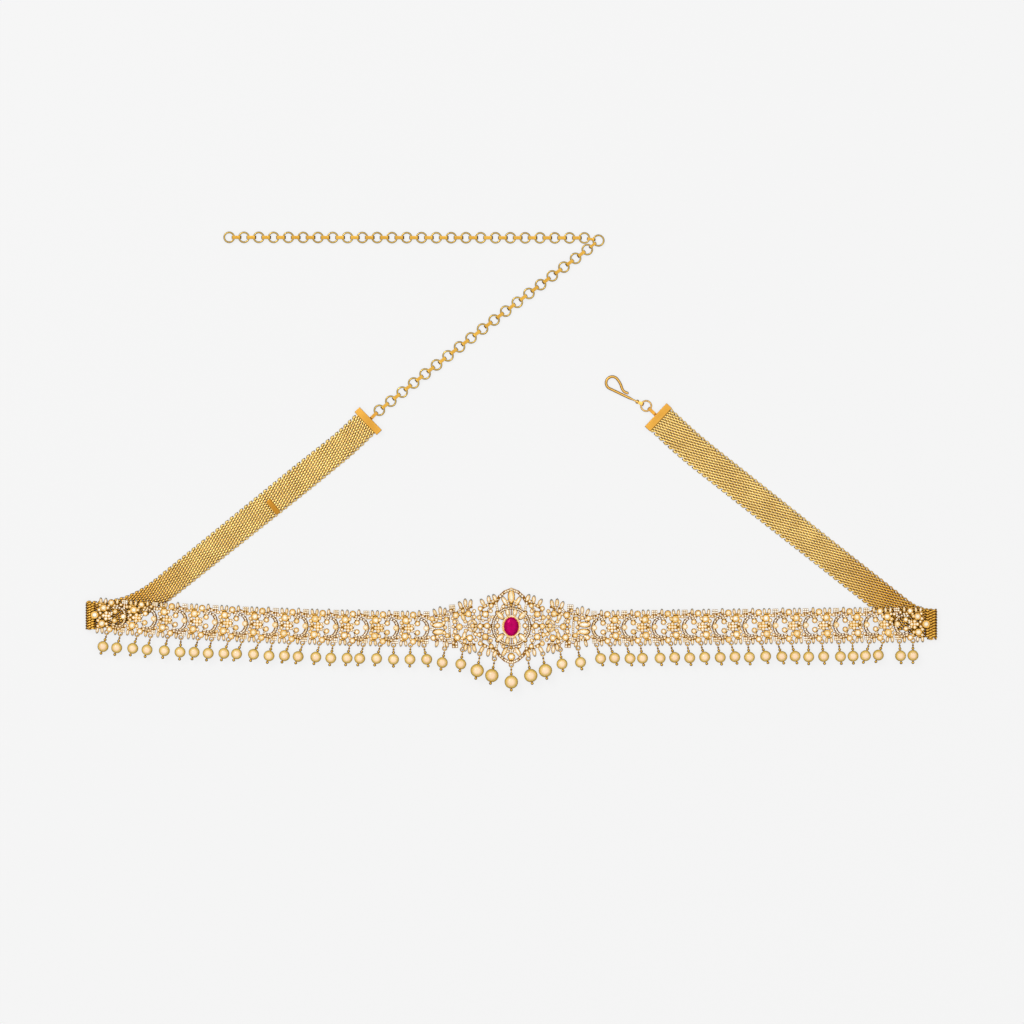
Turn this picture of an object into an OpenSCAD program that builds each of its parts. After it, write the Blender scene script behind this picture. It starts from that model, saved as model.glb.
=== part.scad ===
// Waist belt laid out flat: jewelled front panel, mesh bands, extension chain and hook.
// +X runs along the panel to the wearer's left, +Y up the panel and +Z out of its front.
// The origin is the middle of the medallion's back, on the surface that the belt lies on.

/* [Front panel] */
// Length of one side unit, hinge to hinge
unit_pitch = 12.1; // [12:0.05:12.3]
// Thickness of the pierced plates
plate_t = 1.0; // [0.9:0.05:1.1]
// Height of the raised stone seats above the back
seat_h = 1.5; // [1.4:0.05:1.6]
// Height of the raised leaf and marquise settings above the back
leaf_h = 1.35; // [1.2:0.05:1.4]
// Outer width of a unit's oval ring
oval_w = 6.6; // [6.4:0.1:6.8]
// Outer height of a unit's oval ring
oval_h = 8.2; // [8:0.1:8.4]
// Rise of the panel's left half from the wing to its end
left_rise = 5.4; // [4:0.1:7]
// Rise of the panel's right half from the wing to its end
right_rise = 1.6; // [0:0.1:3]

/* [Medallion] */
// Half of the medallion's length, middle to hinge
medallion_half = 13.6; // [13.4:0.1:13.8]
// Length of the left wing, hinge to hinge
left_wing_len = 19.0; // [18.8:0.1:19.2]
// Length of the right wing, hinge to hinge
right_wing_len = 18.2; // [18:0.1:18.4]
// Radius of the halo round the ruby, middle of its wire
halo_r = 7.4; // [7.2:0.1:7.5]
// Width of the ruby
ruby_w = 6.0; // [5.6:0.1:6.2]
// Height of the ruby
ruby_h = 7.6; // [7.2:0.1:7.8]

/* [Pearl drops] */
// Diameter of the small pearls
pearl_d = 4.4; // [4:0.1:4.6]
// Diameter of the five large pearls
large_pearl_d = 5.4; // [5:0.1:5.6]
// Length of a small drop, loop centre to pearl centre
drop_len = 5.1; // [5:0.1:5.4]
// Length of a large drop, loop centre to pearl centre
large_drop_len = 6.2; // [6:0.1:6.6]
// Diameter of the head pins
pin_d = 0.5; // [0.4:0.05:0.55]

/* [Mesh bands] */
// Width of the left band at the fold
left_band_w = 11.8; // [11:0.1:12]
// Width of the right band at the fold
right_band_w = 12.7; // [12:0.1:12.7]
// Thickness of a band
band_t = 1.2; // [1:0.05:1.2]
// Angle between the left band and the panel
left_turn = 38.7; // [30:0.1:45]
// Angle between the right band and the panel
right_turn = 38.2; // [30:0.1:45]
// Radius of the left band's curve beside the fold
left_bend_r = 45; // [30:0.5:50]
// Radius of the right band's curve beside the fold
right_bend_r = 20; // [14:0.5:24]
// Straight length of the left band
left_run = 90; // [60:0.5:110]
// Straight length of the right band
right_run = 99.4; // [60:0.1:120]

/* [Caps] */
// Length of a cap across the band
cap_len = 12.8; // [12.7:0.1:13.5]
// Width of a cap along the band
cap_w = 2.9; // [2.8:0.1:3.4]
// Height of a cap
cap_h = 2.2; // [2.1:0.05:2.4]

/* [Extension chain] */
// Outer diameter of a chain ring
ring_d = 4.64; // [4.5:0.02:4.8]
// Thickness of a ring's wire
ring_wire = 0.64; // [0.6:0.02:0.7]
// Distance between two rings of the slanting run
slant_pitch = 5.84; // [5.8:0.02:6]
// Distance between two rings of the level run
level_pitch = 5.92; // [5.8:0.02:6]
// Width of the broad links between rings
link_w = 1.3; // [1:0.1:1.4]

/* [Hook] */
// Thickness of the hook's wire
hook_wire = 1.1; // [0.9:0.05:1.2]
// Radius of the hook's bend, middle of the wire
hook_bend_r = 2.5; // [2.3:0.1:2.8]
// Length from the collar to the hook's bend
hook_shank = 12.7; // [11:0.1:14]

/* [Hidden] */
$fn = 40;

RIGHT = 1;
LEFT = -1;
unit_count = 11;

// Hinges: an eye of wire on one plate round the thinned rim of the next
hinge_gap = 0.1;
hinge_z = 0.65;
hinge_r = 0.53;
hinge_wire = 0.28;
rim_w = 0.4;
rim_t = 0.4;
pocket_len = 1.3;
pocket_w = 0.76;
pocket_top = 1.45;

// The panel's ends lie on the folded bands and the last units before them climb
fold_gap = 0.2;
lift = band_t + fold_gap;
climb_units = 2;
first_climb = unit_count - 4.6;
left_fold_reach = 3.3;
right_fold_reach = 4.2;
left_lead = 0.9;
right_lead = 0.5;
upper_gap = 0.5;

// Eyelets along the lower edge, and the loops of wire that hang in them
eyelet_r = 1.02;
eyelet_hole_r = 0.58;
eyelet_t = 0.5;
eyelet_z = 0.9;
loop_r = 0.67;
loop_wire = 0.34;

// Loops and links bent from strip
strip_t = 0.35;
strip_h = 1.7;
strip_gap = 0.12;
chain_z = strip_h / 2;

// Caps and the ends of the bands inside them
left_end_len = 9;
left_end_turn = 5.4;
right_end_len = 17.8;
right_end_turn = 4.9;
ramp_len = 8;
ramp_joint = 0.5;
ramp_rise = 0.45;
slot_depth = 2.05;
slot_play = 0.12;
cap_to_ring = 6.2;
cap_to_jump = 6.6;
jump_d = 4.8;
jump_wire = 0.7;

slant_rings = 19;
level_rings = 25;
slant_heading = 37.7;
slant_bow = 0.5;
corner_step = 5.75;
corner_heading = 39;
corner_d = 4.9;
level_heading = 179.9;
corner_exit = 169.5;
corner_link_w = 1.0;
hook_heading = 25.5;
hook_eye = 1.9;
collar_d = 1.6;
collar_len = 0.9;
neck_d = 0.7;
neck_len = 2.4;

function side_sign(side) = side == RIGHT ? "right" : "left";
function two(k) = k < 10 ? str("0", k) : str(k);
function unit_name(side, k) = str(side_sign(side), "_unit_", two(k + 1));

// Side unit, measured from the middle of its oval ring, outwards along +X.
// Columns: x, y, radius
unit_seats = [
    [1.5, 2.0, 0.95], [1.5, -1.6, 0.95],
    [3.3, 5.5, 1.2], [3.25, -5.2, 1.15],
    [6.2, 3.2, 1.4], [6.5, -3.1, 1.4],
    [3.9, 0.1, 0.75], [6.1, 0.1, 0.75], [5.03, 1.25, 0.75], [5.03, -1.1, 0.75], [5.03, 0.1, 0.7]];
// Columns: x, y, length, width, angle
unit_leaves = [
    [0.9, 6.1, 2.5, 1.1, 90], [0.9, -6.0, 2.5, 1.1, 90],
    [5.6, 5.9, 2.5, 1.1, 96], [7.5, 5.9, 2.5, 1.1, 84],
    [6.2, -5.9, 2.5, 1.1, 84], [8.1, -5.9, 2.5, 1.1, 96]];
// Columns: x from, y from, x to, y to, width
unit_ties = [
    [2.0, 3.1, 3.0, 4.8, 0.9], [2.0, -3.0, 2.9, -4.5, 0.9],
    [0.8, 3.8, 0.9, 5.3, 0.9], [0.8, -3.8, 0.9, -5.2, 0.9],
    [-1.9, 3.1, -2.0, 4.8, 1.0], [-1.6, -3.0, -1.7, -4.0, 1.0],
    [-3.2, 5.7, -0.9, 5.7, 2.3], [-2.9, -4.75, -0.5, -4.75, 2.5],
    [6.0, 0.1, 8.6, 0.1, 1.5],
    [5.4, 1.5, 6.0, 2.4, 0.6], [5.4, -1.4, 6.1, -2.2, 0.6],
    [7.2, 2.4, 8.1, 0.6, 0.5], [7.4, -2.3, 8.2, -0.4, 0.5],
    [5.5, 4.9, 7.6, 4.9, 0.9], [6.1, -4.8, 8.2, -4.8, 0.9]];
// Columns: x, y
unit_eyelets = [[-1.1, -6.6], [4.3, -6.5]];
pear_seat = [-1.95, 0.2];
pear_seat_r = 1.1;
pear_seat_h = 1.7;
white_stone_r = 0.9;
end_seat = [9.6, 0.1];
end_seat_r = 1.5;

// Medallion, right half, measured from the middle of the ruby
medallion_seats = [
    [9.7, 0.3, 1.15], [10.4, 4.9, 1.25], [10.4, -4.1, 1.25], [5.5, 0.3, 0.95],
    [8.0, 8.3, 0.9], [8.0, -7.9, 0.9], [12.4, 7.2, 0.9], [12.4, -6.8, 0.9]];
medallion_leaves = [
    [4.6, 4.5, 4.4, 2.1, 45], [4.6, -4.5, 4.4, 2.1, -45],
    [1.5, 5.8, 3.6, 1.7, 80], [1.5, -5.8, 3.6, 1.7, -80],
    [2.7, 10.2, 4.4, 1.6, 60], [2.7, -10.2, 4.4, 1.6, -60],
    [6.6, 11.4, 3.2, 1.5, 65], [9.0, 10.8, 3.2, 1.4, 85], [11.5, 9.6, 3.2, 1.4, 60],
    [6.6, -11.0, 3.2, 1.5, -65], [9.2, -10.4, 3.2, 1.4, -80], [11.8, -9.2, 3.2, 1.4, -60]];
medallion_ties = [
    [0, 14.8, 2.6, 13.8, 1.3], [2.4, 14.0, 4.8, 11.8, 1.3], [4.6, 12.2, 6.2, 9.4, 1.3],
    [6.2, 9.8, 5.2, 5.4, 0.9], [6.0, 9.4, 9.4, 8.6, 1.1], [9.0, 8.9, 13.0, 6.6, 1.1],
    [8.0, 8.4, 10.3, 5.0, 0.7], [12.6, 7.0, 10.6, 5.2, 0.7], [10.0, 4.7, 6.9, 3.2, 0.8],
    [0, -14.6, 2.6, -13.4, 1.3], [2.4, -13.6, 4.8, -11.4, 1.3], [4.6, -11.8, 6.2, -9.0, 1.3],
    [6.2, -9.4, 5.2, -5.4, 0.9], [6.0, -9.0, 9.4, -8.2, 1.1], [9.0, -8.5, 13.0, -6.2, 1.1],
    [8.0, -8.0, 10.3, -4.3, 0.7], [12.6, -6.6, 10.6, -4.4, 0.7], [10.2, -4.1, 6.6, -3.4, 0.9],
    [5.5, 0.3, 7.3, 0.3, 0.9], [7.2, 0.3, 13.5, 0.3, 1.4],
    [12.4, 7.2, 12.6, 0.6, 0.7], [12.4, -6.8, 12.6, 0, 0.7]];
medallion_eyelets = [[6.75, -12.9], [12.6, -10.9]];
apex_stone = [0, 12.0];
foot_stone = [0, -12.1];
bottom_eyelet = [0, -15.4];

// Wing, measured from its inner hinge, outwards along +X
wing_seats = [
    [1.9, 0.1, 0.85], [3.3, 5.0, 1.25], [3.3, -4.7, 1.25], [8.3, 4.7, 1.25], [8.3, -4.2, 1.25],
    [7.2, 0, 1.25], [12.2, 3.4, 0.9], [12.2, -3.2, 0.9]];
wing_leaves = [
    [1.0, 1.6, 2.6, 1.2, 45], [1.0, -1.4, 2.6, 1.2, -45],
    [2.9, 1.6, 2.6, 1.2, -45], [2.9, -1.4, 2.6, 1.2, 45],
    [2.2, 9.0, 3.4, 1.4, 105], [4.2, 9.4, 3.4, 1.4, 90], [6.2, 8.6, 3.2, 1.4, 70],
    [1.8, -9.0, 3.4, 1.4, -105], [3.7, -9.3, 3.4, 1.4, -90], [5.2, -8.4, 3.0, 1.3, -80],
    [5.4, 3.8, 3.2, 1.6, 75], [5.4, -3.6, 3.2, 1.6, -75],
    [12.6, 6.6, 2.8, 1.2, 100], [14.4, 7.0, 3.2, 1.3, 90], [16.6, 6.4, 3.0, 1.2, 70],
    [12.6, -6.6, 2.6, 1.2, -100], [16.6, -6.2, 2.8, 1.2, -70],
    [15.6, 1.3, 4.8, 2.2, 0], [15.6, -1.5, 4.8, 2.2, 0]];
wing_ties = [
    [0.2, 0, 9.4, 0, 0.8], [3.3, 5.0, 3.4, 7.9, 1.6], [3.3, -4.7, 3.0, -7.8, 1.6],
    [1.0, 1.4, 3.2, 4.8, 0.6], [1.0, -1.4, 3.2, -4.6, 0.6], [3.2, 4.9, 8.4, 4.7, 0.8],
    [3.2, -4.6, 8.4, -4.2, 0.8], [1.4, 7.6, 6.8, 7.2, 0.9], [1.2, -7.4, 6.4, -7.2, 0.9],
    [6.2, 7.2, 8.6, 5.0, 0.8], [6.0, -7.2, 8.6, -4.6, 0.8], [7.2, 0.6, 8.3, 4.4, 0.6],
    [7.3, -0.7, 8.2, -3.9, 0.6], [8.2, 5.0, 12.4, 5.6, 0.9], [8.2, -4.6, 12.4, -5.4, 0.9],
    [11.2, 4.9, 11.2, -4.8, 0.8], [10.9, 5.4, 16.8, 4.9, 0.9], [10.9, -5.2, 16.8, -4.7, 0.9],
    [12.2, 4.0, 14.2, 5.2, 0.6], [12.2, -3.8, 14.2, -5.0, 0.6],
    [17.25, 4.7, 17.15, -4.7, 0.8], [11.4, 3.4, 12.4, 3.3, 0.8], [11.4, -3.2, 12.4, -3.1, 0.8],
    [8.4, 7.8, 10.8, 7.8, 2.4], [8.2, -7.2, 10.6, -7.2, 2.2], [9.0, 6.8, 8.6, 5.0, 0.9],
    [9.0, -6.4, 8.6, -4.8, 0.9]];
wing_eyelets = [[6.5, -9.2], [13.6, -8.2]];
wing_eyelet_posts = [[6.5, -9.2, 6.2, -7.2, 0.8], [13.6, -8.0, 13.8, -5.0, 0.8]];

// How far each drop swings away from straight down, outwards positive, in degrees.
// Columns: drop by the ring, drop by the flower
left_leans = [[-13, 2], [0, 16], [16, 12], [9, 16], [20, 21], [14, 24], [24, 20], [14, 17], [4, 14],
    [16, 20], [16, 17]];
right_leans = [[18, 20], [14, 9], [13, 18], [10, 17], [11, 17], [6, 19], [16, 15], [0, 7], [7, 3],
    [-17, -20], [5, 0]];
wing_leans = [8, 11];
large_leans = [10, 10];

function side_x(side) = medallion_half + (side == RIGHT ? right_wing_len : left_wing_len);
function hinge_x(side, k) = side_x(side) + k * unit_pitch;
function hinge_y(side, k) = side == RIGHT
    ? -0.7 + right_rise * k / unit_count
    : -0.9 + left_rise * pow(k / unit_count, 1.8);
function hinge_lift(k) = lift * max(0, min(1, (k - first_climb) / climb_units));

// A place on the table: x, y, heading, and the length of the way there
function after_run(p, l) = [p.x + l * cos(p.z), p.y + l * sin(p.z), p.z, p[3] + l];
function after_bend(p, r, a) = [
    p.x + r * (sin(p.z + a) - sin(p.z)), p.y - r * (cos(p.z + a) - cos(p.z)),
    p.z + a, p[3] + r * a * PI / 180];
function last(list) = list[len(list) - 1];

function band_w(side) = side == RIGHT ? right_band_w : left_band_w;
function fold_reach(side) = side == RIGHT ? right_fold_reach : left_fold_reach;
// A mesh narrows where it is bent and pulled. Columns: share of the band's length, share of its width
left_narrowing = [[0.02, 1], [0.15, 0.91], [0.4, 0.94], [0.75, 1], [0.92, 0.96]];
right_narrowing = [[0.02, 1], [0.15, 0.955], [0.4, 0.955], [0.6, 0.975], [0.92, 0.99]];

// Bands start at the fold and head back towards the middle, so x counts from there inwards
function fold_place(side) = [-hinge_x(side, unit_count) - fold_reach(side), hinge_y(side, unit_count), 0, 0];
function bend_place(side) = after_run(fold_place(side), side == RIGHT ? right_lead : left_lead);
function bend_part(side, t) = side == RIGHT
    ? after_bend(bend_place(side), right_bend_r, right_turn * t)
    : after_bend(bend_place(side), left_bend_r, left_turn * t);
function run_part(side, t) = after_run(bend_part(side, 1), t * (side == RIGHT ? right_run : left_run));
function end_part(side, t) = side == RIGHT
    ? after_bend(run_part(side, 1), right_end_len / right_end_turn * 180 / PI, right_end_turn * t)
    : after_bend(run_part(side, 1), left_end_len / left_end_turn * 180 / PI, left_end_turn * t);
function cap_place(side) = after_run(end_part(side, 1), ramp_len);
function band_path(side) = concat(
    [fold_place(side)],
    [for (i = [0 : 24]) bend_part(side, i / 24)],
    [for (i = [1 : 8]) run_part(side, i / 8)],
    [for (i = [1 : 6]) end_part(side, i / 6)],
    [after_run(end_part(side, 1), ramp_joint)]);
function width_at(side, p) = band_w(side)
    * lookup(p[3] / cap_place(side)[3], side == RIGHT ? right_narrowing : left_narrowing);

// Chain rings, counted from the cap: slanting run, corner ring, level run
first_ring = after_run(cap_place(LEFT), cap_to_ring);
corner_index = slant_rings;
function slant_ring(i) = let (t = i / (slant_rings - 1)) [
    first_ring.x + i * slant_pitch * cos(slant_heading) - slant_bow * sin(180 * t) * sin(slant_heading),
    first_ring.y + i * slant_pitch * sin(slant_heading) + slant_bow * sin(180 * t) * cos(slant_heading)];
corner_ring = slant_ring(slant_rings - 1) + corner_step * [cos(corner_heading), sin(corner_heading)];
function level_ring(i) = corner_ring + corner_step * [cos(corner_exit), sin(corner_exit)]
    + i * level_pitch * [cos(level_heading), sin(level_heading)];
function ring_at(i) = i < corner_index ? slant_ring(i)
    : i == corner_index ? corner_ring : level_ring(i - corner_index - 1);
function ring_outer(i) = i == corner_index ? corner_d : ring_d;

// Plates: where each one stands, and where its eyelets come out
function plate_slope(side, k) = atan2(hinge_y(side, k + 1) - hinge_y(side, k), unit_pitch);
function plate_tilt(k) = atan2(hinge_lift(k + 1) - hinge_lift(k), unit_pitch);
function wing_slope(side) = atan2(hinge_y(side, 0) - medallion_seats[0].y, side_x(side) - medallion_half);
oval_middle = hinge_gap + oval_w / 2;
function turned(p, a) = [p.x * cos(a) - p.y * sin(a), p.x * sin(a) + p.y * cos(a)];
function unit_point(side, k, p) = let (q = turned([p.x + oval_middle, p.y], plate_slope(side, k))) [
    hinge_x(side, k) + q.x, hinge_y(side, k) + q.y,
    hinge_lift(k) + (p.x + oval_middle) * tan(plate_tilt(k))];
function wing_point(side, p) = let (q = turned(p, wing_slope(side)))
    [medallion_half + q.x, medallion_seats[0].y + q.y, 0];

module on_side(side) {
    if (side == RIGHT) children();
    else mirror([1, 0, 0]) children();
}

module both_halves() {
    children();
    mirror([1, 0, 0]) children();
}

module at_place(p) translate([p.x, p.y, 0]) rotate(p.z) children();

// A run of metal between two points of a plate
module tie(row, h) {
    along = [row[2] - row[0], row[3] - row[1]];
    translate([row[0], row[1], 0]) rotate(atan2(along.y, along.x))
        translate([0, -row[4] / 2, 0]) cube([norm(along), row[4], h]);
}

// A pointed leaf or marquise setting, two arcs meeting at its tips
module leaf(row, h) {
    l = row[2];
    w = row[3];
    arc_r = (l * l + w * w) / (4 * w);
    translate([row[0], row[1], 0]) rotate(row[4]) linear_extrude(h) intersection() {
        translate([0, arc_r - w / 2]) circle(arc_r, $fn = 96);
        translate([0, w / 2 - arc_r]) circle(arc_r, $fn = 96);
    }
}

module ellipse(rx, ry) polygon([for (a = [0 : 12 : 348]) [rx * cos(a), ry * sin(a)]]);

module relief(seats, leaves, ties) {
    for (row = seats) translate([row.x, row.y, 0]) cylinder(r = row[2], h = seat_h);
    for (row = leaves) leaf(row, leaf_h);
    for (row = ties) tie(row, plate_t);
}

// A flat eye on the lower edge, bored for the wire loop of a drop
module eyelet(p) translate([p.x, p.y, eyelet_z - eyelet_t / 2]) cylinder(r = eyelet_r, h = eyelet_t);

module eyelet_hole(p) translate([p.x, p.y, -1]) cylinder(r = eyelet_hole_r, h = 4, $fn = 12);

// The eye of a hinge, standing across the joint at x = 0 of the next plate
module hinge_eye() translate([hinge_gap + rim_w / 2, 0, hinge_z]) rotate([90, 0, 0])
    rotate_extrude() translate([hinge_r, 0]) circle(d = hinge_wire);

// Room under a plate's inner end for the hinge eye, leaving the thin rim that it holds
module hinged_end() {
    difference() {
        children();
        translate([-1, -pocket_w / 2, -1]) cube([1 + pocket_len, pocket_w, 1 + pocket_top]);
    }
    translate([hinge_gap, -pocket_w, hinge_z - rim_t / 2]) cube([rim_w, 2 * pocket_w, rim_t]);
}

module oval_ring() linear_extrude(leaf_h) difference() {
    ellipse(oval_w / 2, oval_h / 2);
    translate([0.5, 0]) ellipse(oval_w / 2 - 1, oval_h / 2 - 0.8);
}

// The end stone's seat overhangs the upper layer of the folded band
module end_finial() {
    tie([7.6, 0.1, 8.6, 0.1, 1.5], pear_seat_h);
    translate([end_seat.x, end_seat.y, pocket_top]) cylinder(r = end_seat_r, h = 0.45);
}

module unit_plate(is_last) {
    hinged_end() translate([oval_middle, 0, 0]) difference() {
        union() {
            oval_ring();
            relief(unit_seats, unit_leaves, unit_ties);
            translate([pear_seat.x, pear_seat.y, 0]) cylinder(r = pear_seat_r, h = pear_seat_h);
            for (p = unit_eyelets) eyelet(p);
            if (is_last) end_finial();
        }
        for (p = unit_eyelets) eyelet_hole(p);
    }
    if (!is_last) translate([unit_pitch, 0, 0]) hinge_eye();
}

module unit(side, k) color("goldenrod") on_side(side)
    translate([hinge_x(side, k), hinge_y(side, k), hinge_lift(k)])
    rotate([0, -plate_tilt(k), plate_slope(side, k)]) unit_plate(k == unit_count - 1);

module wing(side) color("goldenrod") on_side(side)
    translate([medallion_half, medallion_seats[0].y, 0]) rotate(wing_slope(side)) {
        reach = side_x(side) - medallion_half;
        hinged_end() difference() {
            union() {
                tie([hinge_gap, 0, 1.6, 0, 3.2], plate_t);
                relief(wing_seats, wing_leaves, wing_ties);
                for (row = wing_eyelet_posts) tie(row, plate_t);
                tie([16.8, 0, reach - hinge_gap, 0, 1.5], plate_t);
                for (p = wing_eyelets) eyelet(p);
            }
            for (p = wing_eyelets) eyelet_hole(p);
        }
        translate([reach, 0, 0]) hinge_eye();
    }

// Oval collet and claws that hold the ruby over the solid back
module ruby_collet() {
    back_r = [ruby_w / 2 + 0.75, ruby_h / 2 + 0.75];
    linear_extrude(plate_t) ellipse(back_r.x, back_r.y);
    linear_extrude(2) difference() {
        ellipse(back_r.x, back_r.y);
        ellipse(back_r.x - 0.6, back_r.y - 0.6);
    }
    for (a = [22.5 : 45 : 337.5])
        translate([(ruby_w / 2 + 0.42) * cos(a), (ruby_h / 2 + 0.42) * sin(a), 0]) cylinder(d = 0.6, h = 2.8);
}

module halo() rotate_extrude() translate([halo_r - 0.4, 0]) square([0.8, leaf_h]);

module medallion() color("goldenrod") {
    difference() {
        union() {
            ruby_collet();
            halo();
            both_halves() {
                relief(medallion_seats, medallion_leaves, medallion_ties);
                for (p = medallion_eyelets) eyelet(p);
            }
            leaf([apex_stone.x, apex_stone.y, 5.6, 2.6, 90], seat_h);
            tie([0, 7.4, 0, 10, 1.8], leaf_h);
            tie([0, -7.4, 0, -11.4, 1.6], leaf_h);
            translate([foot_stone.x, foot_stone.y, 0]) cylinder(r = 1.4, h = seat_h);
            tie([0, -13, 0, -14.8, 1.4], plate_t);
            eyelet(bottom_eyelet);
        }
        both_halves() for (p = medallion_eyelets) eyelet_hole(p);
        eyelet_hole(bottom_eyelet);
    }
    both_halves() translate([medallion_half, medallion_seats[0].y, 0]) hinge_eye();
}

// A cut stone: table, crown, girdle and pavilion, standing on the middle of its seat
module cut_stone(rx, ry, crown, pavilion, sides) {
    step = 360 / sides;
    table = [for (i = [0 : sides - 1]) [0.58 * rx * cos(i * step), 0.58 * ry * sin(i * step),
        pavilion + crown]];
    girdle = [for (i = [0 : sides - 1]) [rx * cos((i + 0.5) * step), ry * sin((i + 0.5) * step), pavilion]];
    polyhedron(
        points = concat(table, girdle, [[0, 0, 0]]),
        faces = concat(
            [[for (i = [0 : sides - 1]) sides - 1 - i]],
            [for (i = [0 : sides - 1]) [i, (i + 1) % sides, sides + i]],
            [for (i = [0 : sides - 1]) [(i + 1) % sides, sides + (i + 1) % sides, sides + i]],
            [for (i = [0 : sides - 1]) [sides + i, sides + (i + 1) % sides, 2 * sides]]));
}

module ruby() color("crimson") translate([0, 0, plate_t + 0.15])
    cut_stone(ruby_w / 2, ruby_h / 2, 0.9, 1.2, 16);

// One white stone in each side unit's oval ring
module side_stones(side) color("ivory") on_side(side) for (k = [0 : unit_count - 1])
    translate([hinge_x(side, k), hinge_y(side, k), hinge_lift(k)])
    rotate([0, -plate_tilt(k), plate_slope(side, k)])
    translate([oval_middle + pear_seat.x, pear_seat.y, pear_seat_h + 0.1])
    cut_stone(white_stone_r, white_stone_r, 0.35, 0.45, 8);

// A drop's own axis: its loop is at the origin and its pearl lies along +X, resting on the table
module at_drop(eye, lean, len, d) {
    loop_z = eyelet_z + eye.z;
    translate([eye.x, eye.y - eyelet_hole_r - (eyelet_r - eyelet_hole_r) / 2, loop_z])
        rotate([0, 0, lean - 90]) rotate([0, -asin((d / 2 - loop_z) / len), 0]) children();
}

module side_drops(side) {
    leans = side == RIGHT ? right_leans : left_leans;
    on_side(side) {
        for (k = [0 : unit_count - 1], j = [0, 1])
            at_drop(unit_point(side, k, unit_eyelets[j]), leans[k][j], drop_len, pearl_d) children();
        for (j = [0, 1])
            at_drop(wing_point(side, wing_eyelets[j]), wing_leans[j], drop_len, pearl_d) children();
    }
}

// Pearls and head pins are turned shapes, drawn as half profiles round their own axis
module turned_along_x() rotate([0, 90, 0]) rotate_extrude() children();

module pearl(len, d) translate([len, 0, 0]) turned_along_x() difference() {
    circle(d = d);
    translate([-d, -d]) square([d + pin_d / 2 + 0.1, 2 * d]);
}

// Head pin: wire loop, bead on top of the pearl, and the ball that the pearl rests against
module head_pin(len, d) {
    reach = d / 2 + 0.62;
    rotate([90, 0, 0]) rotate_extrude() translate([loop_r, 0]) circle(d = loop_wire);
    turned_along_x() difference() {
        union() {
            translate([-pin_d / 2, loop_r]) square([pin_d, len + reach - loop_r]);
            for (y = [len - reach, len + reach]) translate([0, y]) circle(r = 0.6);
        }
        translate([-2, 0]) square([2, 2 * len]);
    }
}

module pearls(side) color("wheat") side_drops(side) pearl(drop_len, pearl_d);

module pins(side) color("gold") side_drops(side) head_pin(drop_len, pearl_d);

// The five large drops, from left to right
module at_large_drop(k) {
    eyes = concat(bottom_eyelet.y, [for (p = medallion_eyelets) p.y]);
    across = [0, medallion_eyelets[0].x, medallion_eyelets[1].x];
    rank = abs(k - 3);
    lean = rank == 0 ? 0 : large_leans[rank - 1];
    on_side(k < 3 ? LEFT : RIGHT)
        at_drop([across[rank], eyes[rank], 0], lean, large_drop_len, large_pearl_d) children();
}

module large_pearl(k) color("wheat") at_large_drop(k) pearl(large_drop_len, large_pearl_d);

module large_pins() color("gold") for (k = [1 : 5]) at_large_drop(k) head_pin(large_drop_len, large_pearl_d);

// Stations of a band, from its upper layer's end round the half-turn fold and on into the cap's slot.
// Columns: place on the table, x and height of the outer skin there, x and height of the inner skin
function band_stations(side) =
    let (
        first = fold_place(side), end = cap_place(side),
        outer = band_t + fold_gap / 2, inner = fold_gap / 2, upper_len = fold_reach(side) - upper_gap,
        tips = [-cap_w / 2 - 0.2, slot_depth - cap_w / 2 - hinge_gap])
    concat(
        [[first, upper_len, 2 * outer, upper_len, outer + inner]],
        [for (a = [90 : 15 : 255])
            [first, outer * cos(a), outer + outer * sin(a), inner * cos(a), outer + inner * sin(a)]],
        [for (p = band_path(side)) [p, 0, 0, 0, band_t]],
        [for (x = tips) [end, x, ramp_rise, x, ramp_rise + band_t]]);

function skin_point(p, x, y, z) = [p.x + x * cos(p.z) - y * sin(p.z), p.y + x * sin(p.z) + y * cos(p.z), z];

module band(side) color("darkgoldenrod") on_side(-side) {
    stations = band_stations(side);
    n = len(stations);
    polyhedron(
        points = [for (s = stations) let (w = width_at(side, s[0]) / 2) each [
            skin_point(s[0], s[1], -w, s[2]), skin_point(s[0], s[1], w, s[2]),
            skin_point(s[0], s[3], w, s[4]), skin_point(s[0], s[3], -w, s[4])]],
        faces = concat(
            [[0, 1, 2, 3], [4 * n - 1, 4 * n - 2, 4 * n - 3, 4 * n - 4]],
            [for (i = [0 : n - 2], j = [0 : 3]) let (k = (j + 1) % 4)
                [4 * i + k, 4 * i + j, 4 * i + 4 + j, 4 * i + 4 + k]]));
}

module joining_bar() color("peru") on_side(RIGHT) at_place(run_part(LEFT, 0.62))
    translate([0, -1.8, band_t + 0.1]) translate([-1, -3.3, 0]) cube([2, 6.6, 0.5]);

// A loop bent from strip, standing on edge along +X; its inner length is given
module strip_loop(inner, w) translate([0, w / 2, strip_h / 2]) rotate([90, 0, 0]) linear_extrude(w)
    difference() {
        stadium(inner + 2 * strip_t, strip_h, strip_t);
        stadium(inner, strip_h - 2 * strip_t, 0);
    }

module stadium(l, h, back) {
    translate([h / 2 - back, -h / 2]) square([l - h, h]);
    translate([h / 2 - back, 0]) circle(d = h);
    translate([l - h / 2 - back, 0]) circle(d = h);
}

// Half-length that a strip loop may reach into a ring before it meets the wire
function reach_in(d, wire, w) = sqrt(pow(d / 2 - wire, 2) - w * w / 4) - strip_gap;

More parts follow.
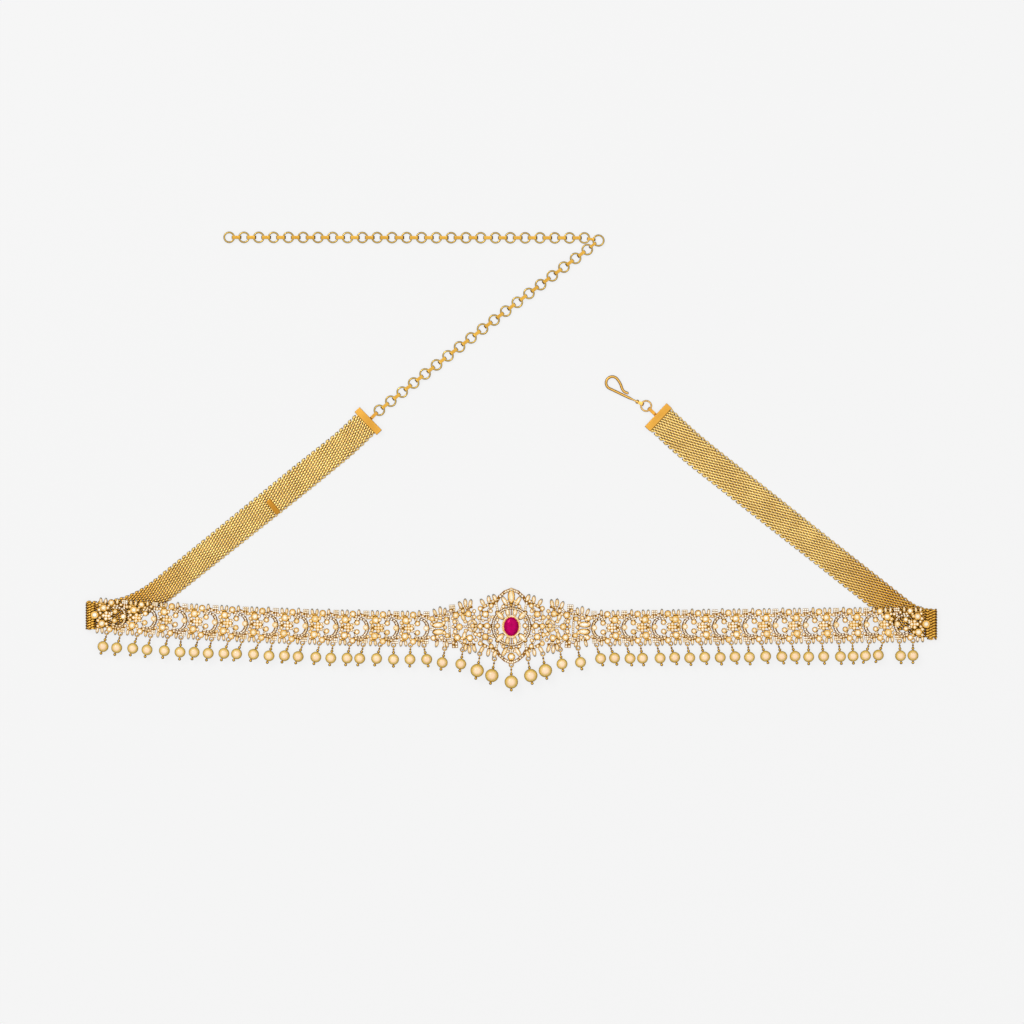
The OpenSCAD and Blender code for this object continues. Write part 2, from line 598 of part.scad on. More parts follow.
module cap(side, to_ring, d, wire) color("orange") on_side(-side) at_place(cap_place(side)) {
    difference() {
        translate([-cap_w / 2, -cap_len / 2, 0]) cube([cap_w, cap_len, cap_h]);
        translate([-cap_w, -cap_len, ramp_rise - slot_play])
            cube([slot_depth + cap_w / 2, 2 * cap_len, band_t + 2 * slot_play]);
    }
    loop_end = to_ring - reach_in(d, wire, link_w);
    loop_start = cap_w / 2 + 0.15;
    translate([loop_start, 0, 0]) strip_loop(loop_end - loop_start, link_w);
}

module flat_ring(p, d, wire) translate([p.x, p.y, chain_z])
    rotate_extrude() translate([(d - wire) / 2, 0]) circle(d = wire, $fn = 24);

module broad_link(i) {
    p = ring_at(i);
    q = ring_at(i + 1);
    at_corner = i == corner_index || i + 1 == corner_index;
    w = at_corner ? corner_link_w : link_w;
    from = reach_in(ring_outer(i), ring_wire, w);
    to = reach_in(ring_outer(i + 1), ring_wire, w);
    translate([p.x, p.y, 0]) rotate(atan2(q.y - p.y, q.x - p.x))
        translate([from, 0, 0]) strip_loop(norm(q - p) - from - to, w);
}

module chain(first, last) color("goldenrod") {
    for (i = [first : last]) flat_ring(ring_at(i), ring_outer(i), ring_wire);
    for (i = [first : min(last, slant_rings + level_rings - 1)]) broad_link(i);
}

module jump_ring() color("goldenrod") on_side(LEFT)
    flat_ring(after_run(cap_place(RIGHT), cap_to_jump), jump_d, jump_wire);

// The hook's wire follows a path of places from the collar, thin at first, round the bend to the lip
wire_sides = 12;
function bend_places(p, r, a) = let (n = ceil(abs(a) / 10)) [for (i = [1 : n]) after_bend(p, r, a * i / n)];
hook_turn = bend_places([hook_shank, 0, 0, 0], hook_bend_r, 203);
hook_back = bend_places(last(hook_turn), 8.5, 23);
hook_lip = bend_places(after_run(last(hook_back), 1), -2.7, -57);
hook_path = concat(
    [[0, 0, 0, 0], [neck_len, 0, 0, 0], [neck_len + 1.5, 0, 0, 0], [hook_shank, 0, 0, 0]],
    hook_turn, hook_back, [after_run(last(hook_back), 1)], hook_lip,
    [for (l = [0.3, 0.6, 0.8]) after_run(last(hook_lip), l)]);
// The neck is thinner than the rest, and the wire's end is rounded off over its last places
function wire_r(i) = i < 2 ? neck_d / 2
    : hook_wire / 2 * [0.4, 0.85, 1, 1][min(len(hook_path) - 1 - i, 3)];

module wire() {
    n = len(hook_path);
    polyhedron(
        points = [for (i = [0 : n - 1], j = [0 : wire_sides - 1])
            let (p = hook_path[i], a = j * 360 / wire_sides, r = wire_r(i))
            [p.x - r * cos(a) * sin(p.z), p.y + r * cos(a) * cos(p.z), r * sin(a)]],
        faces = concat(
            [[for (j = [0 : wire_sides - 1]) j],
                [for (j = [0 : wire_sides - 1]) n * wire_sides - 1 - j]],
            [for (i = [0 : n - 2], j = [0 : wire_sides - 1])
                let (k = (j + 1) % wire_sides, here = i * wire_sides, next = here + wire_sides)
                [here + j, next + j, next + k, here + k]]));
}

module hook() color("goldenrod") on_side(LEFT) {
    p = after_run(cap_place(RIGHT), cap_to_jump);
    from = reach_in(jump_d, jump_wire, link_w);
    translate([p.x, p.y, 0]) rotate(hook_heading) translate([from, 0, 0]) {
        strip_loop(hook_eye, link_w);
        translate([hook_eye + 0.15, 0, chain_z]) wire();
        translate([hook_eye + 0.2, 0, chain_z]) rotate([0, 90, 0]) cylinder(d = collar_d, h = collar_len);
    }
}

medallion();
wing(LEFT);  // left_wing
wing(RIGHT);  // right_wing
ruby();
side_stones(LEFT);  // left_stones
side_stones(RIGHT);  // right_stones
for (side = [LEFT, RIGHT], k = [0 : unit_count - 1])
    unit(side, k);
pearls(LEFT);  // left_pearls
pearls(RIGHT);  // right_pearls
pins(LEFT);  // left_pins
pins(RIGHT);  // right_pins
large_pins();
for (k = [1 : 5]) large_pearl(k);
band(LEFT);  // left_band
band(RIGHT);  // right_band
joining_bar();
cap(LEFT, cap_to_ring, ring_d, ring_wire);  // left_cap
cap(RIGHT, cap_to_jump, jump_d, jump_wire);  // right_cap
chain(0, slant_rings - 1);  // chain_slant
chain(corner_index, slant_rings + level_rings);  // chain_level
jump_ring();
hook();
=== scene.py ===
from math import asin, atan2, ceil, cos, degrees, hypot, pi, radians, sin, sqrt

import bmesh
import bpy
from mathutils import Matrix, Vector
from numpy import interp


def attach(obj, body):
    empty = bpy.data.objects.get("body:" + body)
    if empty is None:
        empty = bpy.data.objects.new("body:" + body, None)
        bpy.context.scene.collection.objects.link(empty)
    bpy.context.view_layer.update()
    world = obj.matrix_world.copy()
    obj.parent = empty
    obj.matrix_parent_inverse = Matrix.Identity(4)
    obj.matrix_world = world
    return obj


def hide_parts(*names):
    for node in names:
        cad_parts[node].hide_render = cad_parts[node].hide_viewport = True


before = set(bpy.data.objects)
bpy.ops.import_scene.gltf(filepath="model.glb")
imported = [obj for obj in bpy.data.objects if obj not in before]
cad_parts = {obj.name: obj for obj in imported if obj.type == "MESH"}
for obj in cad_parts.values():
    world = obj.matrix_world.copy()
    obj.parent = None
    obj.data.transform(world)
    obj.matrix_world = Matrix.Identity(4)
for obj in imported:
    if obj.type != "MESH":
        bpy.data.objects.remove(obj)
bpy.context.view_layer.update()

# The table, the light and the camera
# The belt lies on a matt grey table under a wide dome of studio light, bright overhead and dim towards
# the walls, so that flat gold shines and its sides go brown. The camera looks straight down. The table
# is masked to a plain pale tone in the picture, through which only a little of the shadow shows.
TABLE_SIZE = 8.0
TABLE_COLOUR = "#7d756c"
MASKED_TABLE = "#e9e9e9"
MASK_SHARE = 0.88
BACKDROP_COLOUR = "#f3f3f3"
VIEW_WIDTH = 0.4096
VIEW_MIDDLE = (0.00028, 0.0458)
VIEW_PLANE = 0.001
CAMERA_HEIGHT = 2.4
SENSOR = 36.0


def linear(code):
    """A colour written as sRGB hex, as linear red, green, blue and one."""
    parts = [int(code[i:i + 2], 16) / 255 for i in (1, 3, 5)]
    return tuple(p / 12.92 if p <= 0.04045 else ((p + 0.055) / 1.055) ** 2.4 for p in parts) + (1.0,)


def wired(tree, made, inputs):
    """Sets or links a node's inputs."""
    for socket, value in inputs.items():
        if isinstance(value, bpy.types.NodeSocket):
            tree.links.new(value, made.inputs[socket])
        else:
            made.inputs[socket].default_value = value


def node(tree, kind, inputs=(), **settings):
    """Adds a shader node with its settings and inputs."""
    made = tree.nodes.new("ShaderNode" + kind)
    for key, value in settings.items():
        setattr(made, key, value)
    wired(tree, made, dict(inputs))
    return made


def ramp_between(made, *stops):
    """Sets a colour ramp's stops, each a position and a colour."""
    elements = made.color_ramp.elements
    while len(elements) < len(stops):
        elements.new(0.5)
    for element, (position, colour) in zip(elements, stops):
        element.position = position
        element.color = colour
    return made


table_paint = bpy.data.materials.new("matt table paint")
table_paint.use_nodes = True
tree = table_paint.node_tree
tree.nodes.clear()
grey = node(tree, "BsdfDiffuse", {"Color": linear(TABLE_COLOUR)})
white = node(tree, "BsdfDiffuse", {"Color": linear(MASKED_TABLE)})
mask = node(tree, "Emission", {"Color": linear(BACKDROP_COLOUR), "Strength": 1.0})
pale = node(tree, "MixShader", {0: MASK_SHARE, 1: white.outputs[0], 2: mask.outputs[0]})
ray = node(tree, "LightPath").outputs["Is Camera Ray"]
seen = node(tree, "MixShader", {0: ray, 1: grey.outputs[0], 2: pale.outputs[0]})
node(tree, "OutputMaterial", {"Surface": seen.outputs[0]})
bpy.ops.object.select_all(action="DESELECT")
bpy.ops.mesh.primitive_plane_add(size=TABLE_SIZE)
table = bpy.context.object
table.name = "table_top"
table.data.materials.append(table_paint)

dome = bpy.data.worlds.new("studio dome")
bpy.context.scene.world = dome
dome.use_nodes = True
sky = dome.node_tree
sky.nodes.clear()
direction = node(sky, "TexCoord").outputs["Generated"]
height = node(sky, "SeparateXYZ", {0: direction}).outputs["Z"]
# Columns: height, brightness
DOME_STOPS = [(0.0, 0.08), (0.35, 0.14), (0.6, 0.7), (0.8, 1.9), (0.93, 1.75), (1.0, 1.3)]
shade = ramp_between(node(sky, "ValToRGB", {0: height}),
                     *[(p, (v, v, v, 1.0)) for p, v in DOME_STOPS])
lit = node(sky, "Background", {"Color": shade.outputs["Color"], "Strength": 1.0})
seen = node(sky, "Background", {"Color": linear(BACKDROP_COLOUR), "Strength": 1.0})
ray = node(sky, "LightPath").outputs["Is Camera Ray"]
both = node(sky, "MixShader", {0: ray, 1: lit.outputs[0], 2: seen.outputs[0]})
node(sky, "OutputWorld", {"Surface": both.outputs[0]})

# One soft box at the upper left gives the stones and the round wires their small lights
bpy.ops.object.light_add(type="AREA", location=(-0.7, 0.9, 1.1))
soft_box = bpy.context.object
soft_box.name = "soft_box"
soft_box.data.size = 0.5
soft_box.data.energy = 6.0
soft_box.rotation_euler = (Vector((0, 0.03, 0)) - soft_box.location).to_track_quat("-Z", "Y").to_euler()

bpy.ops.object.camera_add(location=(VIEW_MIDDLE[0], VIEW_MIDDLE[1], CAMERA_HEIGHT))
camera = bpy.context.object
camera.name = "camera"
camera.data.sensor_width = SENSOR
camera.data.lens = SENSOR * (CAMERA_HEIGHT - VIEW_PLANE) / VIEW_WIDTH
camera.data.clip_end = 20.0
bpy.context.scene.camera = camera
bpy.context.scene.view_settings.view_transform = "Standard"

# Side units
# Each half of the front panel is a row of like plates, cast in gold and pierced: an oval ring, a
# flower of round stones beside it, and pointed leaves along both edges. Every seat is a small cup
# with grains of gold pushed over its stone. Small beads on stems fill the corners, and the bars and
# rings between are set with chips.
MM = 0.001
RIGHT, LEFT = 1, -1
SIDES = {"left": LEFT, "right": RIGHT}
UNITS = 11
PITCH = 12.1
MEDALLION_HALF = 13.6
HINGE_GAP = 0.1
WING_LENGTH = {RIGHT: 18.2, LEFT: 19.0}
START_Y = {RIGHT: -0.7, LEFT: -0.9}
RISE = {RIGHT: 1.6, LEFT: 5.4}
RISE_POWER = {RIGHT: 1, LEFT: 1.8}
BAND_T = 1.2
FOLD_GAP = 0.2
LIFT = BAND_T + FOLD_GAP
# The outer units climb by LIFT, over two units' length, to lie on the folded straps
CLIMB_UNITS = 2
FIRST_CLIMB = UNITS - 4.6
PLATE_T = 1.0
BAR_STEP = 0.006
# Leaves further out than this have tips of white gold on their outer ends
EDGE_ROW = 5.5
SEAT_H = 1.5
# Seats under the small radius are lower by the drop, and those from the large radius have six grains
SMALL_SEAT_R, SMALL_SEAT_DROP, LARGE_SEAT_R = 0.8, 0.1, 1.1
LEAF_H = 1.35
RAIL_H = LEAF_H - 0.1
BEAD_H = LEAF_H - 0.05
STEM_WIDTH, STEM_TOP = 0.42, 0.95
OVAL = (6.6, 8.2)
OVAL_MIDDLE = HINGE_GAP + OVAL[0] / 2
OVAL_WALLS, OVAL_SHIFT = (2, 1.6), 0.5
CHIP_R = 0.46
OVAL_CHIP_R, OVAL_CHIPS_IN = 0.88 * CHIP_R, (0.5, 0.42)
OUTLINE_IN, OUTLINE_SWELL = 0.12, 4
CHIP_SHARES = (1, 0.75, 0.55)
CHIP_RISE, CHIP_GAP, LANE_SLACK = 0.03, 0.05, 0.45
# How near a chip or a halo's bead may stand to what is there already, as a share of its own radius
CHIP_ROOM, BEAD_ROOM = 0.86, 0.8
GRAIN_R = 0.16
# A round stone's size and its grains' distance, as shares of the cup's radius, and their heights above it
STONE_SHARE, GRAIN_SHARE, STONE_RISE, GRAIN_RISE = 0.7, 0.88, 0.02, 0.04
# A grain's size round a stone, and how much it grows with the cup's radius
GRAIN_BASE, GRAIN_GROWTH = 0.13, 0.07
GALLERY_PAST = 0.04
# The panel gold's crest colour is a painted highlight and its groove colour is painted shade, chosen by
# pointiness
PANEL_GOLD = {"lit_crest": "#e2b056", "body": "#ac7a28", "shaded_groove": "#45290c"}
STONE_COLOUR, STONE_DEEP = "#fff8e6", "#f6dba8"
PEAR_SEAT = (-1.95, 0.2, 1.1)
PEAR_STONE = (0.9, 1.8)
PEAR_CUP_H, PEAR_STONE_Z = PEAR_STONE[1] + 0.4, PEAR_STONE[1] + 0.45
# Columns: x, y, radius
UNIT_SEATS = [
    (1.5, 2.0, 0.95), (1.5, -1.6, 0.95), (3.3, 5.5, 1.2), (3.25, -5.2, 1.15), (6.2, 3.2, 1.4),
    (6.5, -3.1, 1.4), (3.9, 0.1, 0.75), (6.1, 0.1, 0.75), (5.03, 1.25, 0.75), (5.03, -1.1, 0.75),
    (5.03, 0.1, 0.7)]
# Columns: x, y, length, width, angle
UNIT_LEAVES = [
    (0.9, 6.1, 2.5, 1.1, 90), (0.9, -6.0, 2.5, 1.1, 90), (5.6, 5.9, 2.5, 1.1, 96), (7.5, 5.9, 2.5, 1.1, 84),
    (6.2, -5.9, 2.5, 1.1, 84), (8.1, -5.9, 2.5, 1.1, 96)]
# Columns: x from, y from, x to, y to, width
UNIT_TIES = [
    (2.0, 3.1, 3.0, 4.8, 0.9), (2.0, -3.0, 2.9, -4.5, 0.9), (0.8, 3.8, 0.9, 5.3, 0.9),
    (0.8, -3.8, 0.9, -5.2, 0.9), (-1.9, 3.1, -2.0, 4.8, 1.0), (-1.6, -3.0, -1.7, -4.0, 1.0),
    (-3.2, 5.7, -0.9, 5.7, 2.3), (-2.9, -4.75, -0.5, -4.75, 2.5), (6.0, 0.1, 8.6, 0.1, 1.5),
    (5.4, 1.5, 6.0, 2.4, 0.6), (5.4, -1.4, 6.1, -2.2, 0.6), (7.2, 2.4, 8.1, 0.6, 0.5),
    (7.4, -2.3, 8.2, -0.4, 0.5), (5.5, 4.9, 7.6, 4.9, 0.9), (6.1, -4.8, 8.2, -4.8, 0.9)]
# Columns: x, y
UNIT_EYELETS = [(-1.1, -6.6), (4.3, -6.5)]
# Small beads that fill the corners between the seats. Columns: x, y, radius
UNIT_BEADS = [
    (7.95, 2.3, 0.7), (8.1, -2.0, 0.7), (4.6, 3.3, 0.65), (4.7, -3.1, 0.65), (7.75, 4.3, 0.6),
    (8.0, -4.2, 0.6), (4.2, 4.3, 0.5), (4.3, -4.2, 0.5), (-0.6, 4.9, 0.55), (-0.2, -4.7, 0.5),
    (-3.1, 4.2, 0.6), (-2.9, -3.4, 0.6), (1.9, 4.4, 0.5), (1.9, -4.2, 0.5), (7.4, 1.05, 0.6),
    (7.5, -0.85, 0.6), (3.7, 1.2, 0.5), (3.7, -1.0, 0.5)]
UNIT_BOSSES, UNIT_BOSS_SIZE = [(6.6, 4.95), (7.1, -4.85)], (1.0, 0.5, 0.45)
END_SEAT = (9.6, 0.1, 1.5)
# Bar under the last unit's outer stone: x from, length, width, height
END_BAR = (7.6, 1, 1.5, 1.7)
POCKET_TOP = 1.45
END_CUP_H, END_STONE_Z, END_STONE_SHARE = 0.45, POCKET_TOP + 0.48, 0.68
EYELET_R = 1.02
EYELET_HOLE_R = 0.58
EYELET_Z = 0.9
HINGE_Z, HINGE_R, HINGE_WIRE = 0.65, 0.53, 0.28
HINGE_PAST = 0.2
SHARP = radians(50)


def start(kind, **settings):
    """Deselects everything, adds a primitive and opens it for editing, all of it selected."""
    bpy.ops.object.select_all(action="DESELECT")
    getattr(bpy.ops.mesh, f"primitive_{kind}_add")(**settings)
    bpy.ops.object.mode_set(mode="EDIT")
    bpy.ops.mesh.select_all(action="SELECT")


def start_ring(radius, wire_radius, around, across, **settings):
    """Starts a ring of round wire, lying flat."""
    start("torus", major_radius=radius, minor_radius=wire_radius, major_segments=around,
          minor_segments=across, **settings)


def pick(test, kind="FACE"):
    """Selects the faces, edges or vertices whose middle passes the test."""
    bpy.ops.mesh.select_mode(type=kind)
    bpy.ops.mesh.select_all(action="DESELECT")
    shape = bmesh.from_edit_mesh(bpy.context.edit_object.data)
    for part in {"FACE": shape.faces, "EDGE": shape.edges, "VERT": shape.verts}[kind]:
        corners = [part.co] if kind == "VERT" else [v.co for v in part.verts]
        part.select_set(bool(test(sum(corners, Vector()) / len(corners))))
    shape.select_flush_mode()
    bmesh.update_edit_mesh(bpy.context.edit_object.data)


def drawn_out(step, size=None):
    """Extrudes what is selected by a step, and scales its new end about its own middle."""
    bpy.ops.mesh.extrude_region_move(TRANSFORM_OT_translate={"value": step})
    if size:
        bpy.ops.transform.resize(value=size)


def turned_outwards():
    """Selects all of the open piece and turns its faces outwards."""
    bpy.ops.mesh.select_all(action="SELECT")
    bpy.ops.mesh.normals_make_consistent(inside=False)


def modified(kind, **settings):
    """Adds a modifier to the open piece and applies it."""
    made = bpy.context.object.modifiers.new(kind.lower(), kind)
    for key, value in settings.items():
        setattr(made, key, value)
    bpy.ops.object.modifier_apply(modifier=made.name)


def rounded(width, segments):
    """Bevels the sharp edges of the closed piece."""
    modified("BEVEL", width=width, segments=segments, limit_method="ANGLE", angle_limit=SHARP)


def blank(name, material, smooth=None, shaded_sides=None):
    """Closes a piece as a blank in millimetres. A second material, if given, goes on its steep sides:
    painted shade.
    """
    if bpy.context.mode != "OBJECT":
        bpy.ops.object.mode_set(mode="OBJECT")
    made = bpy.context.object
    made.select_set(True)
    bpy.ops.object.transform_apply(location=True, rotation=True, scale=True)
    made.name = name
    made.data.materials.clear()
    made.data.materials.append(material)
    if shaded_sides:
        made.data.materials.append(shaded_sides)
        for face in made.data.polygons:
            face.material_index = int(face.normal.z < 0.6)
    if smooth is None:
        bpy.ops.object.shade_flat()
    else:
        bpy.ops.object.shade_smooth_by_angle(angle=radians(smooth))
    return made


def copied(source, place):
    """A copy with its own mesh at its place. A mirrored copy has its faces turned outwards again."""
    made = bpy.data.objects.new(source.name, source.data.copy())
    bpy.context.scene.collection.objects.link(made)
    made.data.transform(place)
    if place.determinant() < 0:
        made.data.flip_normals()
    return made


def fused(name, pieces):
    """Joins pieces into one."""
    bpy.ops.object.select_all(action="DESELECT")
    for piece in pieces:
        piece.select_set(True)
    bpy.context.view_layer.objects.active = pieces[0]
    if len(pieces) > 1:
        bpy.ops.object.join()
    made = bpy.context.object
    made.name = name
    made.data.name = name
    return made


def hung(piece, slot, *nodes):
    """Takes a piece from millimetres to metres and gives it to the frame."""
    piece.data.transform(Matrix.Scale(MM, 4))
    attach(piece, "root")
    if nodes:
        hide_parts(*nodes)
    return piece


def thrown_away(*blanks):
    """Deletes blanks that are used up."""
    for made in blanks:
        bpy.data.objects.remove(made)


def at(x, y, z=0.0, turn=0.0, size=(1.0, 1.0, 1.0)):
    """A place on a plate: where, turned how far, and how large."""
    turned = Matrix.Rotation(radians(turn), 4, "Z")
    return Matrix.Translation((x, y, z)) @ turned @ Matrix.Diagonal((*size, 1.0))


def surface(name):
    """A new material, with its node tree, its shader and a point's place on the piece."""
    material = bpy.data.materials.new(name)
    material.use_nodes = True
    tree = material.node_tree
    return material, tree, tree.nodes["Principled BSDF"], node(tree, "TexCoord").outputs["Object"]


def mottled(tree, where, scale, detail, *stops):
    """Colours that drift between the stops over a piece, by a noise's scale per millimetre."""
    cloud = node(tree, "TexNoise", {"Vector": where, "Scale": scale / MM, "Detail": detail})
    return ramp_between(node(tree, "ValToRGB", {0: cloud.outputs["Fac"]}), *stops).outputs[0]


def multiplied(tree, share, one, other):
    """A colour multiplied by another, to a share."""
    mix = node(tree, "Mix", {0: share, 6: one, 7: other}, data_type="RGBA", blend_type="MULTIPLY")
    return mix.outputs[2]


def cast_gold(name, lit_crest, body, shaded_groove, roughness=0.2, grain_mm=0.35, bump=0.12):
    """22 carat gold, cast, tumbled and hand polished, with the faint unevenness of casting under the shine.
    Its colour follows the mesh's pointiness: painted highlight on the crests, painted shade in the grooves."""
    material, tree, shader, where = surface(name)
    convexity = node(tree, "NewGeometry").outputs["Pointiness"]
    # Painted shade in the grooves and painted highlight on the crests, by the mesh's pointiness
    reach = ramp_between(node(tree, "ValToRGB", {0: convexity}),
                         (0.44, linear(shaded_groove)), (0.5, linear(body)), (0.58, linear(lit_crest)))
    tint = mottled(tree, where, 0.12, 2.0, (0.35, (0.86, 0.82, 0.76, 1.0)), (0.65, (1.0, 1.0, 1.0, 1.0)))
    grain = node(tree, "TexNoise", {"Vector": where, "Scale": 1 / (grain_mm * MM), "Detail": 3.0})
    rough = node(tree, "MapRange", {0: grain.outputs["Fac"], 3: roughness * 0.7, 4: roughness * 1.4})
    relief = node(tree, "Bump", {"Strength": bump, "Distance": 0.05 * MM, "Height": grain.outputs["Fac"]})
    wired(tree, shader, {"Base Color": multiplied(tree, 1.0, reach.outputs[0], tint), "Metallic": 1.0,
                         "Roughness": rough.outputs[0], "Normal": relief.outputs[0]})
    return material


def cut_zircon(name, colour, deep):
    """White zircon, brilliant cut on a wheel: clear and hard with flat bright facets. Its base colour is a
    warm cream that drifts at random, a painted reflection of the gold under it."""
    material, tree, shader, where = surface(name)
    wired(tree, shader, {
        "Base Color": mottled(tree, where, 0.3, 1.0, (0.35, linear(deep)), (0.65, linear(colour))),
        "Roughness": 0.04, "IOR": 1.95, "Transmission Weight": 0.12})
    return material


panel_gold = cast_gold("cast panel gold", **PANEL_GOLD)
# Darker brown gold, painted shade: on the steep sides of cups, and on the bars, rails, gallery and outline
# wires, as the shade and dark outlines between the seats
shade_gold = cast_gold("gold with painted shade", "#835718", "#643f0d", "#2a1603", roughness=0.42)
zircon = cut_zircon("white zircon", STONE_COLOUR, STONE_DEEP)

# Cup that a round stone sits in, one millimetre in radius and height
start("cylinder", vertices=12, radius=1, depth=1, location=(0, 0, 0.5))
pick(lambda c: c.z > 0.99)
bpy.ops.transform.resize(value=(0.74, 0.74, 1))
bpy.ops.mesh.bevel(offset=0.04, segments=1)
pick(lambda c: c.z > 0.99 and hypot(c.x, c.y) < 0.1)
bpy.ops.mesh.inset(thickness=0.09)
drawn_out((0, 0, -0.3), (0.7, 0.7, 1))
cup = blank("cup", panel_gold, 40, shade_gold)

# Round stone, one millimetre in radius: table, crown, girdle at height zero, and pavilion
start("circle", vertices=8, radius=1, fill_type="NGON")
drawn_out((0, 0, 0.4), (0.6, 0.6, 1))
bpy.ops.transform.rotate(value=pi / 8, orient_axis="Z", center_override=(0, 0, 0.4))
pick(lambda c: abs(c.z) < 0.01, "EDGE")
drawn_out((0, 0, -0.5))
bpy.ops.mesh.merge(type="CENTER")
bpy.ops.mesh.select_all(action="SELECT")
bpy.ops.mesh.quads_convert_to_tris()
bpy.ops.mesh.normals_make_consistent(inside=False)
stone = blank("stone", zircon)

# Gallery wire that runs round the foot of a cup, one millimetre in radius, in the darker gold of painted
# shade, which outlines the cup
start_ring(1, 0.11, 14, 5)
gallery = blank("gallery", shade_gold, 80)

# Grain of gold pushed over a stone's edge
start("ico_sphere", subdivisions=1, radius=1)
grain = blank("grain", panel_gold, 80)

# Wire that outlines a ring, one millimetre in radius, in the darker gold of painted shade, and plain domed
# boss of yellower gold
start_ring(1, 0.03, 40, 5)
outline_wire = blank("outline_wire", shade_gold, 80)
boss_gold = cast_gold("yellow gold bosses", "#c89c50", "#9f7433", "#4a2d0b", roughness=0.24)
start("uv_sphere", segments=12, ring_count=8, radius=1)
boss = blank("boss", boss_gold, 180)

# Bead of white gold that tips the pointed leaves along the plates' edges
white_gold = cast_gold("white gold tips", "#a9b0ae", "#87908f", "#4c5456", roughness=0.25)
start("ico_sphere", subdivisions=2, radius=0.3)
tip = blank("tip", white_gold, 80)

# Pointed cup of a leaf and its marquise stone, 3.2 by 1.4 mm. A row of a circle's corners that is
# narrowed by its own height makes the two arcs of the leaf.
LEAF_SIZE = (3.2, 1.4)
LEAF_GRAIN_R, LEAF_GRAIN_AT, LEAF_GRAIN_RISE = 0.2, 0.44, 0.03
MARQUISE_SHARES = (0.82, 0.66)


def leaf_shaped():
    """Draws a twelve-sided prism in to the outline of a leaf."""
    for row in (0.5, 0.866):
        pick(lambda c: abs(abs(c.y) - row) < 0.01, "VERT")
        bpy.ops.transform.resize(value=(1, row, 1))
    bpy.ops.mesh.select_all(action="SELECT")
    bpy.ops.transform.resize(value=(LEAF_SIZE[0] / 2, LEAF_SIZE[1] / 2, 1), center_override=(0, 0, 0))


start("cylinder", vertices=12, radius=1, depth=1, location=(0, 0, 0.5))
leaf_shaped()
pick(lambda c: c.z > 0.99)
bpy.ops.transform.resize(value=(0.9, 0.78, 1))
bpy.ops.mesh.inset(thickness=0.1)
drawn_out((0, 0, -0.3), (0.8, 0.8, 1))
leaf_cup = blank("leaf_cup", panel_gold, 40, shade_gold)

start("circle", vertices=12, radius=1, fill_type="NGON")
leaf_shaped()
drawn_out((0, 0, 0.28), (0.62, 0.5, 1))
pick(lambda c: abs(c.z) < 0.01, "EDGE")
drawn_out((0, 0, -0.3))
bpy.ops.mesh.merge(type="CENTER")
turned_outwards()
marquise = blank("marquise", zircon)

# Bar between two seats, one millimetre long, wide and high, with its upper edges rounded, in the darker
# gold of painted shade
start("cube", size=1, location=(0.5, 0, 0.5))
pick(lambda c: c.z > 0.99 and abs(c.y) > 0.4, "EDGE")
bpy.ops.mesh.bevel(offset=0.36, segments=3)
bar = blank("bar", shade_gold, 40)

# Flat eye for a drop's loop, and the wire eye of a hinge
start_ring((EYELET_R + EYELET_HOLE_R) / 2, (EYELET_R - EYELET_HOLE_R) / 2 + 0.04, 16, 6)
eyelet = blank("eyelet", boss_gold, 60)
start_ring(HINGE_R, HINGE_WIRE / 2, 14, 6, rotation=(pi / 2, 0, 0))
hinge_eye = blank("hinge_eye", panel_gold, 60)


def thick_rail(name):
    """Makes the open flat ring a rail that stands on the ground, with its edges rolled, in the darker gold
    of painted shade.
    """
    turned_outwards()
    bpy.ops.object.mode_set(mode="OBJECT")
    modified("SOLIDIFY", thickness=RAIL_H, offset=0)
    bpy.context.object.location.z = RAIL_H / 2
    rounded(0.14, 2)
    return blank(name, shade_gold, 40)


# Oval ring with its opening set towards the flower
start("circle", vertices=32, radius=1)
bpy.ops.transform.resize(value=(OVAL[0] / 2, OVAL[1] / 2, 1))
drawn_out((OVAL_SHIFT, 0, 0), (*[(whole - walls) / whole for whole, walls in zip(OVAL, OVAL_WALLS)], 1))
oval_ring = thick_rail("oval_ring")


def set_round(x, y, r, top, grains=4):
    """A cup, its stone and the grains round it."""
    wide = r + GALLERY_PAST
    metal = [copied(cup, at(x, y, 0, 0, (r, r, top))),
             copied(gallery, at(x, y, PLATE_T, 0, (wide, wide, 1)))]
    out, size = GRAIN_SHARE * r, GRAIN_BASE + GRAIN_GROWTH * r
    for i in range(grains):
        a = 2 * pi * (i + 0.5) / grains
        spot = (x + out * cos(a), y + out * sin(a), top + GRAIN_RISE)
        metal.append(copied(grain, at(*spot, 0, (size,) * 3)))
    return metal, [copied(stone, at(x, y, top + STONE_RISE, 22.5, (r * STONE_SHARE,) * 3))]


def set_leaf(x, y, length, width, turn, top):
    """A pointed cup, its stone and a grain at each tip."""
    size = (length / LEAF_SIZE[0], width / LEAF_SIZE[1])
    cut = (size[0] * MARQUISE_SHARES[0], size[1] * MARQUISE_SHARES[1], 1)
    foot = at(x, y, PLATE_T, turn, (length / 2, width / 2 + GALLERY_PAST, 1))
    metal = [copied(leaf_cup, at(x, y, 0, turn, (*size, top))), copied(gallery, foot)]
    for end in (-LEAF_GRAIN_AT, LEAF_GRAIN_AT):
        place = at(x, y, 0, turn) @ at(end * length, 0, top + LEAF_GRAIN_RISE)
        outside = abs(y) > EDGE_ROW and place.translation.y * y > y * y
        source, s = (tip, 1) if outside else (grain, LEAF_GRAIN_R)
        metal.append(copied(source, place @ Matrix.Diagonal((s, s, s, 1))))
    return metal, [copied(marquise, at(x, y, top + STONE_RISE, turn, cut))]


